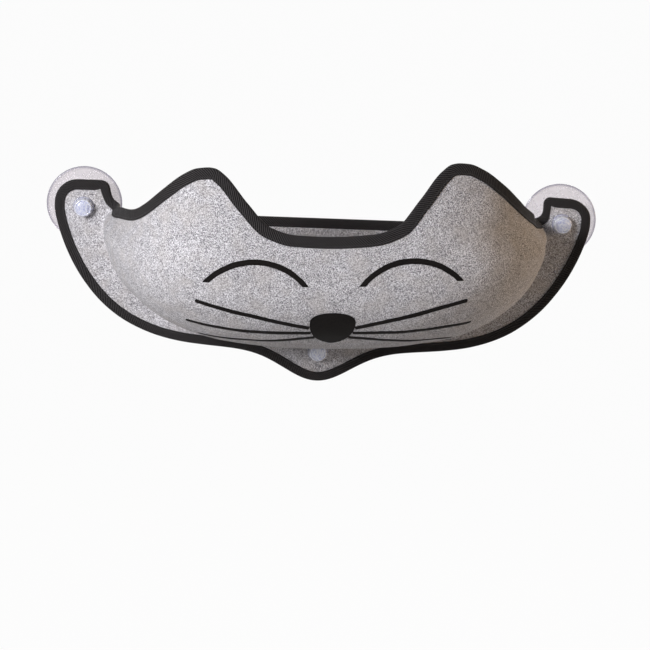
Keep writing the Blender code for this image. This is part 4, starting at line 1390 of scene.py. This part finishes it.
def cup_profile(rim_radius, pocket_radius):
    """Socket, neck, dome and lip outside; a flat sealing ring and a shallow pocket to the pane.

    The dome falls as a power of the distance to the lip, which ends in a small bead.
    """
    top = CUP_HEIGHT - STUD_NECK
    bottom = top - STUD_FOOT - 2 * clearance
    socket = STUD_FOOT_RADIUS + clearance
    inside = rounded([(0.0, bottom), (socket, bottom), (socket, top), (BORE_RADIUS, top),
                      (BORE_RADIUS, CUP_HEIGHT), (CUP_NECK, CUP_HEIGHT),
                      (CUP_NECK, CUP_HEIGHT * NECK_BOTTOM)],
                     (0.0005, 0.0005, 0.0003, 0.0004, 0.0016), 4)
    t = np.linspace(0.0, 1.0, DOME_STEPS)
    radius = CUP_NECK + (rim_radius - CUP_NECK) * t
    dome = CUP_LIP + (CUP_HEIGHT * DOME_TOP - CUP_LIP) * (1 - t) ** DOME_POWER
    for (height, place, width), start in ((LIP_BEAD, rim_radius), (POCKET_BEAD, pocket_radius)):
        dome = dome + height * bell((radius - start - place) / width)
    outside = np.stack([radius, dome], 1)[:-1]
    turn = np.radians(np.linspace(90, -90, 7))
    lip = np.stack([rim_radius - LIP_RADIUS + LIP_RADIUS * np.cos(turn),
                    LIP_RADIUS + LIP_RADIUS * np.sin(turn)], 1)
    s = np.linspace(1.0, 0.0, POCKET_STEPS)
    pocket = POCKET_DEPTH * np.cos(pi / 2 * s ** POCKET_POWER)
    return np.concatenate([inside, outside, lip, np.stack([pocket_radius * s, pocket], 1)])


print("cup rings", len(cup_profile(*CUP_RADII["left"])))

# %% [markdown]
# A stud stands in each cup, with a foot that the vinyl holds and a thread for the nut. The thread
# is cut into the shaft as a helix: a groove whose phase grows with depth and with the angle.

# %% Stud profile and thread
WASHER_THICKNESS = 0.0015
washer_face = flange_face + clearance
nut_face = washer_face + WASHER_THICKNESS + clearance
stud_tip = nut_face + 0.008
SHAFT_BEGINS, SHAFT_STEPS, TIP_BEVEL, TIP_SHARE = 0.0182, 110, 0.0008, 0.8
THREAD_PITCH, THREAD_DEPTH, THREAD_START = 0.0020, 0.00045, 0.0186
THREAD_END, THREAD_FADE = stud_tip - 0.0006, 0.0008


def stud_profile():
    """Foot, neck and shaft, with many rows along the shaft for its thread."""
    foot_top = CUP_HEIGHT - STUD_NECK - clearance
    foot = rounded([(0.0, foot_top - STUD_FOOT), (STUD_FOOT_RADIUS, foot_top - STUD_FOOT),
                    (STUD_FOOT_RADIUS, foot_top), (STUD_RADIUS, foot_top),
                    (STUD_RADIUS, CUP_HEIGHT)], (0.0006, 0.0006, 0.0003), 4)
    shaft = np.linspace(SHAFT_BEGINS, stud_tip - TIP_BEVEL, SHAFT_STEPS)
    shaft = np.stack([np.full_like(shaft, STUD_RADIUS), shaft], 1)
    tip = np.array([[STUD_RADIUS * TIP_SHARE, stud_tip], [0.0, stud_tip]])
    return np.concatenate([foot, shaft, tip])


def threaded(radius, depth, angle):
    """The radius less the thread's depth in the helix's groove: a rounded saw of depth."""
    phase = (depth / THREAD_PITCH - angle / (2 * pi)) % 1.0
    groove = soft_step(np.abs(phase - 0.5) * 2)
    on = rise(depth, THREAD_START, THREAD_FADE) * soft_step((THREAD_END - depth) / THREAD_FADE)
    return radius - THREAD_DEPTH * groove * on


print("stud rings", len(stud_profile()))

# %% [markdown]
# The washer is a thin flat ring with a shallow dish, and the nut has a blind bore, tapered grips
# for the fingers and a domed disc inside a turned ring on top, which catches the light.

# %% Washer and nut profiles
WASHER_RADIUS, WASHER_DISH = 0.013, 0.0003
NUT_RADIUS, NUT_TOP_RADIUS, NUT_HEIGHT, NUT_BORE_END = 0.012, 0.0105, 0.0105, stud_tip + 0.0006
NUT_GRIPS, NUT_GRIP_DEPTH, GRIP_BEGINS, GRIP_SPAN = 12, 0.0006, 0.0088, 0.0016
NUT_SHOULDER, NUT_RING, NUT_RING_RADIUS = 0.0042, 0.0014, 0.0090
DISC_DEPTH, DISC_RADIUS, DISC_CURVE, DISC_STEPS = 0.0022, 0.0086, 0.0087, 30


def washer_profile():
    """A flat ring with rounded edges and a faint raised rim."""
    top = washer_face + WASHER_THICKNESS
    ring = rounded([(BORE_RADIUS + 0.0015, top), (BORE_RADIUS, top), (BORE_RADIUS, washer_face),
                    (WASHER_RADIUS, washer_face), (WASHER_RADIUS, top),
                    (WASHER_RADIUS - 0.0012, top), (WASHER_RADIUS - 0.0018, top - WASHER_DISH),
                    (BORE_RADIUS + 0.0016, top - WASHER_DISH)],
                   (0.0003, 0.0003, 0.0004, 0.0005, 0.0002, 0.0002), 5)
    return np.concatenate([ring, ring[:1]])


def nut_profile():
    """Blind bore from the pane's side, a tapered outside and a dome on top, part of an ellipse."""
    top = nut_face + NUT_HEIGHT
    outside = rounded([(0.0, NUT_BORE_END), (BORE_RADIUS, NUT_BORE_END), (BORE_RADIUS, nut_face),
                       (NUT_RADIUS, nut_face), (NUT_RADIUS, top - NUT_SHOULDER),
                       (NUT_TOP_RADIUS, top - NUT_RING), (NUT_RING_RADIUS, top - NUT_RING)],
                      (0.0008, 0.0004, 0.0006, 0.0016, 0.0008), 6)
    radius = np.linspace(DISC_RADIUS, 0.0, DISC_STEPS)
    dome = DISC_DEPTH * np.sqrt(np.clip(1 - (radius / DISC_CURVE) ** 2, 0.0, 1.0))
    return np.concatenate([outside, np.stack([radius, top - DISC_DEPTH + dome], 1)])


def gripped(radius, depth, angle):
    """The radius less shallow finger grips, which fade out on the flat faces and in the bore."""
    grip = (0.5 - 0.5 * np.cos(NUT_GRIPS * angle)) ** 1.5
    return radius - NUT_GRIP_DEPTH * rise(radius, GRIP_BEGINS, GRIP_SPAN) * grip


print("nut rings", len(nut_profile()))

# %% [markdown]
# The four shapes are set down at each of the three places. Cups and studs stay on the bed, and
# each washer and nut rides on its own moving body, because the nut backs off along the thread.

# %% Cups, studs, washers and nuts
by_finish = {}


def add_turned(finish, name, profile, body, slot, node, around, shape=None):
    """One turned piece, kept in the list of its finish; the node's name ends with the place's."""
    spot = STUD_PLACES[node.rsplit("_", 1)[-1]]
    piece = add_piece(name, turned(name, profile, spot, around, shape), body, slot, node)
    by_finish.setdefault(finish, []).append(piece)


for where in STUD_PLACES:
    add_turned("clear_vinyl", "clear_cup_" + where, cup_profile(*CUP_RADII[where]), "bed",
               "clear_vinyl", "suction_cup_" + where, 96)
    add_turned("clear_stud", "threaded_stud_" + where, stud_profile(), "bed",
               "clear_vinyl", "stud_" + where, 48, threaded)
    add_turned("clear_washer", "thin_washer_" + where, washer_profile(), "washer_" + where,
               "clear_plastic", "washer_" + where, 96)
    add_turned("clear_nut", "thumb_nut_" + where, nut_profile(), "knob_" + where,
               "clear_plastic", "knob_" + where, 144, gripped)
print("turned pieces", {finish: len(pieces) for finish, pieces in by_finish.items()})

# %% [markdown]
# Materials are made of a few steps again and again: a mix of two colours, a value stretched to a
# new range, and noise. Noise in Object coordinates stays in place on the piece however it moves.

# %% Steps of a material


def between(tree, share, first, second):
    """Colour mixed from the first to the second by a share."""
    mix = put(tree, "ShaderNodeMix", {0: share, 6: first, 7: second}, data_type="RGBA")
    return mix.outputs[2]


def spread(tree, value, low, high, to_low=0.0, to_high=1.0):
    """A value stretched from one range to another and held at its ends."""
    feeds = {0: value, 1: low, 2: high, 3: to_low, 4: to_high}
    return put(tree, "ShaderNodeMapRange", feeds).outputs[0]


def grain(tree, place, scale, detail, rough, swirl):
    """Fractal noise between about 0.2 and 0.8 at a scale in features per metre."""
    feeds = {"Vector": place, "Scale": scale, "Detail": detail, "Roughness": rough,
             "Distortion": swirl}
    return put(tree, "ShaderNodeTexNoise", feeds).outputs[0]


print("steps of a material are ready")

# %% [markdown]
# Several materials share an effect, so each effect is a node group with named sockets, built once
# and placed in each material with its own values. The Principled shader stays in the material.

# %% Groups and shaders


def group_of(name, takes, gives):
    """Node group with inputs (name, kind, value) and outputs (name, kind)."""
    group = bpy.data.node_groups.new(name, "ShaderNodeTree")
    for label, kind, value in takes:
        socket = group.interface.new_socket(label, in_out="INPUT", socket_type="NodeSocket" + kind)
        if value is not None:
            socket.default_value = value
    for label, kind in gives:
        group.interface.new_socket(label, in_out="OUTPUT", socket_type="NodeSocket" + kind)
    take, give = group.nodes.new("NodeGroupInput"), group.nodes.new("NodeGroupOutput")
    return group, take.outputs, give.inputs


def give_out(group, give, **values):
    """Links values to the group's outputs of the same names."""
    for label, value in values.items():
        group.links.new(value, give[label])


def placed(tree, group, **feeds):
    """Outputs of the group's node in a tree; underscores in a socket's name stand for spaces."""
    feeds = {label.replace("_", " "): value for label, value in feeds.items()}
    return put(tree, "ShaderNodeGroup", feeds, node_tree=group).outputs


def material_of(name, **sockets):
    """Material with a Principled shader whose plain sockets are set, and Object coordinates."""
    material = bpy.data.materials.new(name)
    material.use_nodes = True
    tree = material.node_tree
    shader = tree.nodes["Principled BSDF"]
    for label, value in sockets.items():
        shader.inputs[label.replace("_", " ")].default_value = value
    return material, tree, shader, put(tree, "ShaderNodeTexCoord").outputs["Object"]


def feed_shader(tree, shader, color, rough, height, distance, strength):
    """Colour, roughness and a relief whose height is in units of the distance in metres."""
    bump = put(tree, "ShaderNodeBump",
               {"Strength": strength, "Distance": distance, "Height": height})
    feeds = {"Base Color": color, "Roughness": rough, "Normal": bump.outputs[0]}
    for label, value in feeds.items():
        tree.links.new(value, shader.inputs[label])


def paint(material, *pieces):
    """Gives a material to the pieces."""
    for piece in pieces:
        piece.data.materials.append(material)


print("helpers for groups and shaders are ready")

# %% [markdown]
# Pressed felt is a mass of short fibres in several greys, so it looks speckled from near and even
# from afar. Four noises give that: small clumps of fibre, finer swirled hairs, soft blotches where
# the mix is paler or darker, and a slow drift between cool and warm. The same group gives the ink
# its fibres, only with blacks in place of greys.

# %% Felt fibres as a group
CLUMP_SHARE, HAIR_SHARE, BLOTCH_SHARE = 0.52, 0.40, 0.08
SHADE_REACH = 0.11


def make_fibre_group():
    """Shade = clumps, hairs and blotches in set shares; colour = pale and dark mixed by it."""
    group, take, give = group_of(
        "felt_fibres",
        [("Place", "Vector", None), ("Clumps per Metre", "Float", 640.0),
         ("Contrast", "Float", 1.0), ("Pale Color", "Color", (0.7, 0.7, 0.7, 1.0)),
         ("Dark Color", "Color", (0.3, 0.3, 0.3, 1.0)),
         ("Warm Color", "Color", (0.5, 0.45, 0.4, 1.0))],
        [("Color", "Color"), ("Shade", "Float"), ("Height", "Float")])
    place, scale = take["Place"], take["Clumps per Metre"]
    clumps = grain(group, place, scale, 1.0, 0.5, 0.8)
    hairs = grain(group, place, sums(group, "MULTIPLY", scale, 1.9), 2.0, 0.6, 2.2)
    blotch = grain(group, place, sums(group, "MULTIPLY", scale, 0.16), 2.0, 0.55, 0.4)
    drift = grain(group, place, sums(group, "MULTIPLY", scale, 0.05), 1.0, 0.5, 0.0)
    mixed = sums(group, "MULTIPLY", hairs, HAIR_SHARE)
    mixed = sums(group, "MULTIPLY_ADD", clumps, CLUMP_SHARE, mixed)
    mixed = sums(group, "MULTIPLY_ADD", blotch, BLOTCH_SHARE, mixed)
    centred = sums(group, "MULTIPLY", sums(group, "SUBTRACT", mixed, 0.5), take["Contrast"])
    shade = spread(group, centred, -SHADE_REACH, SHADE_REACH)
    color = between(group, shade, take["Dark Color"], take["Pale Color"])
    warm = sums(group, "ADD", drift, sums(group, "MULTIPLY", hairs, 0.35))
    warm = spread(group, warm, 0.62, 0.86, 0.0, 0.35)
    height = sums(group, "MULTIPLY_ADD", hairs, 0.5, clumps)
    give_out(group, give, Color=between(group, warm, color, take["Warm Color"]), Shade=shade,
             Height=sums(group, "MULTIPLY_ADD", blotch, 1.4, height))
    return group


fibre_group = make_fibre_group()
print("outputs", [s.name for s in fibre_group.interface.items_tree if s.in_out == "OUTPUT"])

# %% [markdown]
# Bare felt is matt, with a faint sheen from loose fibre ends. The print sinks into it, so the ink
# keeps the fibres' relief and a little of their speckle, and its black is never quite even. The
# flat back sheet is less brushed than the moulded one, so its contrast is lower.

# %% Felt and ink
FELT_PALE = (0.900, 0.885, 0.905, 1.0)
FELT_DARK = (0.175, 0.168, 0.182, 1.0)
FELT_WARM = (0.560, 0.520, 0.490, 1.0)
INK_PALE = (0.0150, 0.0128, 0.0118, 1.0)
INK_DARK = (0.0040, 0.0034, 0.0032, 1.0)
# Roughness of dark and of pale fibres, and the relief in metres with its strength
FELT_ROUGH, FELT_RELIEF = (0.98, 0.84), (0.00042, 1.0)
INK_ROUGH, INK_RELIEF = (0.68, 0.84), (0.00016, 0.8)
FELT_SHEEN = {"Sheen_Weight": 0.12, "Sheen_Roughness": 0.6, "Specular_IOR_Level": 0.2}


def make_fibres(name, colors, per_metre, contrast, rough, relief, **sockets):
    """Fibres in a pale, a dark and a warm colour, whose shade also sets the roughness."""
    material, tree, shader, place = material_of(name, **sockets)
    fibres = placed(tree, fibre_group, Place=place, Clumps_per_Metre=per_metre, Contrast=contrast,
                    Pale_Color=colors[0], Dark_Color=colors[1], Warm_Color=colors[2])
    feed_shader(tree, shader, fibres["Color"], spread(tree, fibres["Shade"], 0.0, 1.0, *rough),
                fibres["Height"], *relief)
    return material


for sheet, name, contrast in ((moulded_felt, "heather_felt", 1.95),
                              (back_felt, "heather_felt_flat", 1.5)):
    paint(make_fibres(name, (FELT_PALE, FELT_DARK, FELT_WARM), 820.0, contrast,
                      FELT_ROUGH, FELT_RELIEF, **FELT_SHEEN), sheet)
paint(make_fibres("ink_on_felt", (INK_PALE, INK_DARK, INK_DARK), 520.0, 0.9,
                  INK_ROUGH, INK_RELIEF, Specular_IOR_Level=0.08), *prints)
print("printed marks", len(prints))

# %% [markdown]
# Twill tape shows slanted ribs, each a row of fine threads. The pattern is drawn in the tape's own
# map, whose two numbers are metres along and across, so it turns every corner with the tape. Noise
# frays the ribs, and a trace of lint lies on them.

# %% Twill as a group
TWILL_PITCH, THREADS_PER_RIB = 0.0031, 2.0
FRAY_SLIP = 0.0009


def wave(group, number, step):
    """Half of one plus the sine of the number times the step."""
    sine = sums(group, "SINE", sums(group, "MULTIPLY", number, step))
    return sums(group, "MULTIPLY_ADD", sine, 0.5, 0.5)


def make_twill_group():
    """Ribs = wave of along plus across; threads = finer wave of along less across; noise frays."""
    group, take, give = group_of(
        "twill",
        [("Map", "Vector", None), ("Place", "Vector", None), ("Pitch", "Float", TWILL_PITCH)],
        [("Rib", "Float"), ("Thread", "Float"), ("Lint", "Float"), ("Height", "Float")])
    along, across, _ = put(group, "ShaderNodeSeparateXYZ", {0: take["Map"]}).outputs
    fray = grain(group, take["Place"], 380.0, 2.0, 0.6, 0.5)
    slip = sums(group, "MULTIPLY", sums(group, "SUBTRACT", fray, 0.5), FRAY_SLIP)
    slant = sums(group, "ADD", sums(group, "ADD", along, across), slip)
    step = sums(group, "DIVIDE", 2 * pi, take["Pitch"])
    rib = wave(group, slant, step)
    thread = wave(group, sums(group, "SUBTRACT", along, across),
                  sums(group, "MULTIPLY", step, THREADS_PER_RIB))
    lint = spread(group, grain(group, take["Place"], 900.0, 2.0, 0.7, 3.0), 0.60, 0.72)
    height = sums(group, "MULTIPLY_ADD", thread, 0.45, rib)
    give_out(group, give, Rib=rib, Thread=thread, Lint=lint,
             Height=sums(group, "MULTIPLY_ADD", fray, 0.5, height))
    return group


twill_group = make_twill_group()
print("ribs per centimetre", round(0.01 / TWILL_PITCH, 1))

# %% [markdown]
# The tape is deep black between the ribs, a painted shade in the grooves, and lighter where ribs
# and threads both rise, a painted highlight on the thread tops. The thread of the seam is spun, so
# noise gives it a fine twist and a slight gloss.

# %% Tape and thread
# On the tape the rib colour is a painted highlight on the rib tops and the deep colour a painted
# shade in the grooves
TAPE_DEEP = (0.0020, 0.0018, 0.0018, 1.0)
TAPE_RIB_HIGHLIGHT = (0.0950, 0.0880, 0.0890, 1.0)
TAPE_LINT = (0.0900, 0.0850, 0.0850, 1.0)
THREAD_COLOR = (0.0200, 0.0185, 0.0190, 1.0)
THREAD_SHOWS, RIB_POWER, LINT_SHOWS = 0.65, 1.3, 0.30


def make_tape():
    """Colour and roughness by a power of rib times thread, with a share of lint laid over."""
    material, tree, shader, place = material_of("black_twill_tape", Sheen_Weight=0.03,
                                                Sheen_Roughness=0.5, Specular_IOR_Level=0.10)
    along = put(tree, "ShaderNodeUVMap", uv_map="tape").outputs[0]
    twill = placed(tree, twill_group, Map=along, Place=place)
    shade = sums(tree, "MULTIPLY_ADD", twill["Thread"], THREAD_SHOWS, 1 - THREAD_SHOWS)
    shade = sums(tree, "POWER", sums(tree, "MULTIPLY", shade, twill["Rib"]), RIB_POWER)
    # painted highlight on the rib tops, painted shade in the grooves between them
    color = between(tree, shade, TAPE_DEEP, TAPE_RIB_HIGHLIGHT)
    color = between(tree, sums(tree, "MULTIPLY", twill["Lint"], LINT_SHOWS), color, TAPE_LINT)
    feed_shader(tree, shader, color, spread(tree, shade, 0.0, 1.0, 0.92, 0.62),
                twill["Height"], 0.00022, 0.8)
    return material


def make_thread():
    """Noise fine enough to read as the twist of spun thread."""
    material, tree, shader, place = material_of("black_thread", Sheen_Weight=0.05,
                                                Specular_IOR_Level=0.45)
    twist = grain(tree, place, 2400.0, 2.0, 0.6, 1.5)
    feed_shader(tree, shader, between(tree, twist, TAPE_DEEP, THREAD_COLOR),
                spread(tree, twist, 0.3, 0.7, 0.66, 0.42), twist, 0.00010, 0.8)
    return material


paint(make_tape(), edge_tape, back_tape)
paint(make_thread(), tape_stitches)
print("tape and thread done")

# %% [markdown]
# Soft vinyl and moulded plastic are clear, but never perfect: a skin of fine haze, a few rubbed
# patches and dust break their gloss, and what they reflect is broken into small spots. One group
# gives haze and mottle to all of them.

# %% Haze as a group


def make_haze_group():
    """Haze = cloudy noise plus sparse specks, and sets the roughness; mottle = finer noise."""
    group, take, give = group_of(
        "plastic_haze",
        [("Place", "Vector", None), ("Smooth", "Float", 0.05), ("Rubbed", "Float", 0.3)],
        [("Mottle", "Float"), ("Roughness", "Float"), ("Height", "Float")])
    place = take["Place"]
    cloud = spread(group, grain(group, place, 70.0, 3.0, 0.55, 0.6), 0.38, 0.66)
    specks = spread(group, grain(group, place, 1300.0, 1.0, 0.5, 0.0), 0.70, 0.78)
    haze = sums(group, "MINIMUM", sums(group, "MULTIPLY_ADD", specks, 0.5, cloud), 1.0)
    mottle = spread(group, grain(group, place, 520.0, 2.0, 0.6, 1.6), 0.40, 0.56)
    give_out(group, give, Mottle=mottle,
             Roughness=spread(group, haze, 0.0, 1.0, take["Smooth"], take["Rubbed"]),
             Height=grain(group, place, 210.0, 2.0, 0.5, 0.3))
    return group


haze_group = make_haze_group()
print("nodes in the haze", len(haze_group.nodes))

# %% [markdown]
# Thick rims look tinted, because one looks through more of the plastic there, so the tint follows
# the distance from the axis that each turned piece carries. On the nuts the rim colour is near
# white
# and paler than the disc instead: a painted highlight on the turned ring and the sides. The nuts
# let the least light through, have a hard gloss over all, and show their mottle most.

# %% Clear materials
# Each finish: body and rim colours, radius shares where the rim's tint starts and is full,
# roughness where smooth and where rubbed, how much light goes through, gloss and mottle
CLEAR_FINISHES = {
    "clear_vinyl": ((0.80, 0.76, 0.79, 1.0), (0.36, 0.34, 0.41, 1.0), (0.935, 0.985),
                    0.16, 0.38, 0.80, 0.0, 0.06),
    "clear_stud": ((0.88, 0.88, 0.95, 1.0), (0.62, 0.64, 0.80, 1.0), (0.46, 0.63),
                   0.10, 0.30, 0.80, 0.0, 0.1),
    "clear_washer": ((0.90, 0.90, 0.97, 1.0), (0.66, 0.68, 0.86, 1.0), (0.88, 1.00),
                     0.08, 0.25, 0.60, 0.2, 0.1),
    # the nut's rim colour is a painted highlight on its ring and sides, paler than its disc
    "clear_nut": ((0.40, 0.44, 0.76, 1.0), (0.90, 0.92, 1.00, 1.0), (0.70, 0.86),
                  0.05, 0.14, 0.25, 1.0, 1.0),
}
PLASTIC_BENDS, GLOSS_BENDS, GLOSS_ROUGH = 1.46, 2.0, 0.05
PLASTIC_RELIEF = (0.0004, 0.12)


def make_clear(name, body, rim, reach, smooth, rubbed, through, gloss, mottled):
    """Glass-like shader, tinted by the larger of the distance from the axis and the mottle."""
    material, tree, shader, place = material_of(
        name, Transmission_Weight=through, IOR=PLASTIC_BENDS, Coat_Weight=gloss,
        Coat_IOR=GLOSS_BENDS, Coat_Roughness=GLOSS_ROUGH)
    from_axis = put(tree, "ShaderNodeAttribute", attribute_name="from_axis").outputs["Fac"]
    haze = placed(tree, haze_group, Place=place, Smooth=smooth, Rubbed=rubbed)
    tint = sums(tree, "MAXIMUM", spread(tree, from_axis, *reach),
                sums(tree, "MULTIPLY", haze["Mottle"], mottled))
    feed_shader(tree, shader, between(tree, tint, body, rim), haze["Roughness"], haze["Height"],
                *PLASTIC_RELIEF)
    return material


for finish, values in CLEAR_FINISHES.items():
    paint(make_clear(finish, *values), *by_finish[finish])
print("clear finishes", list(CLEAR_FINISHES))
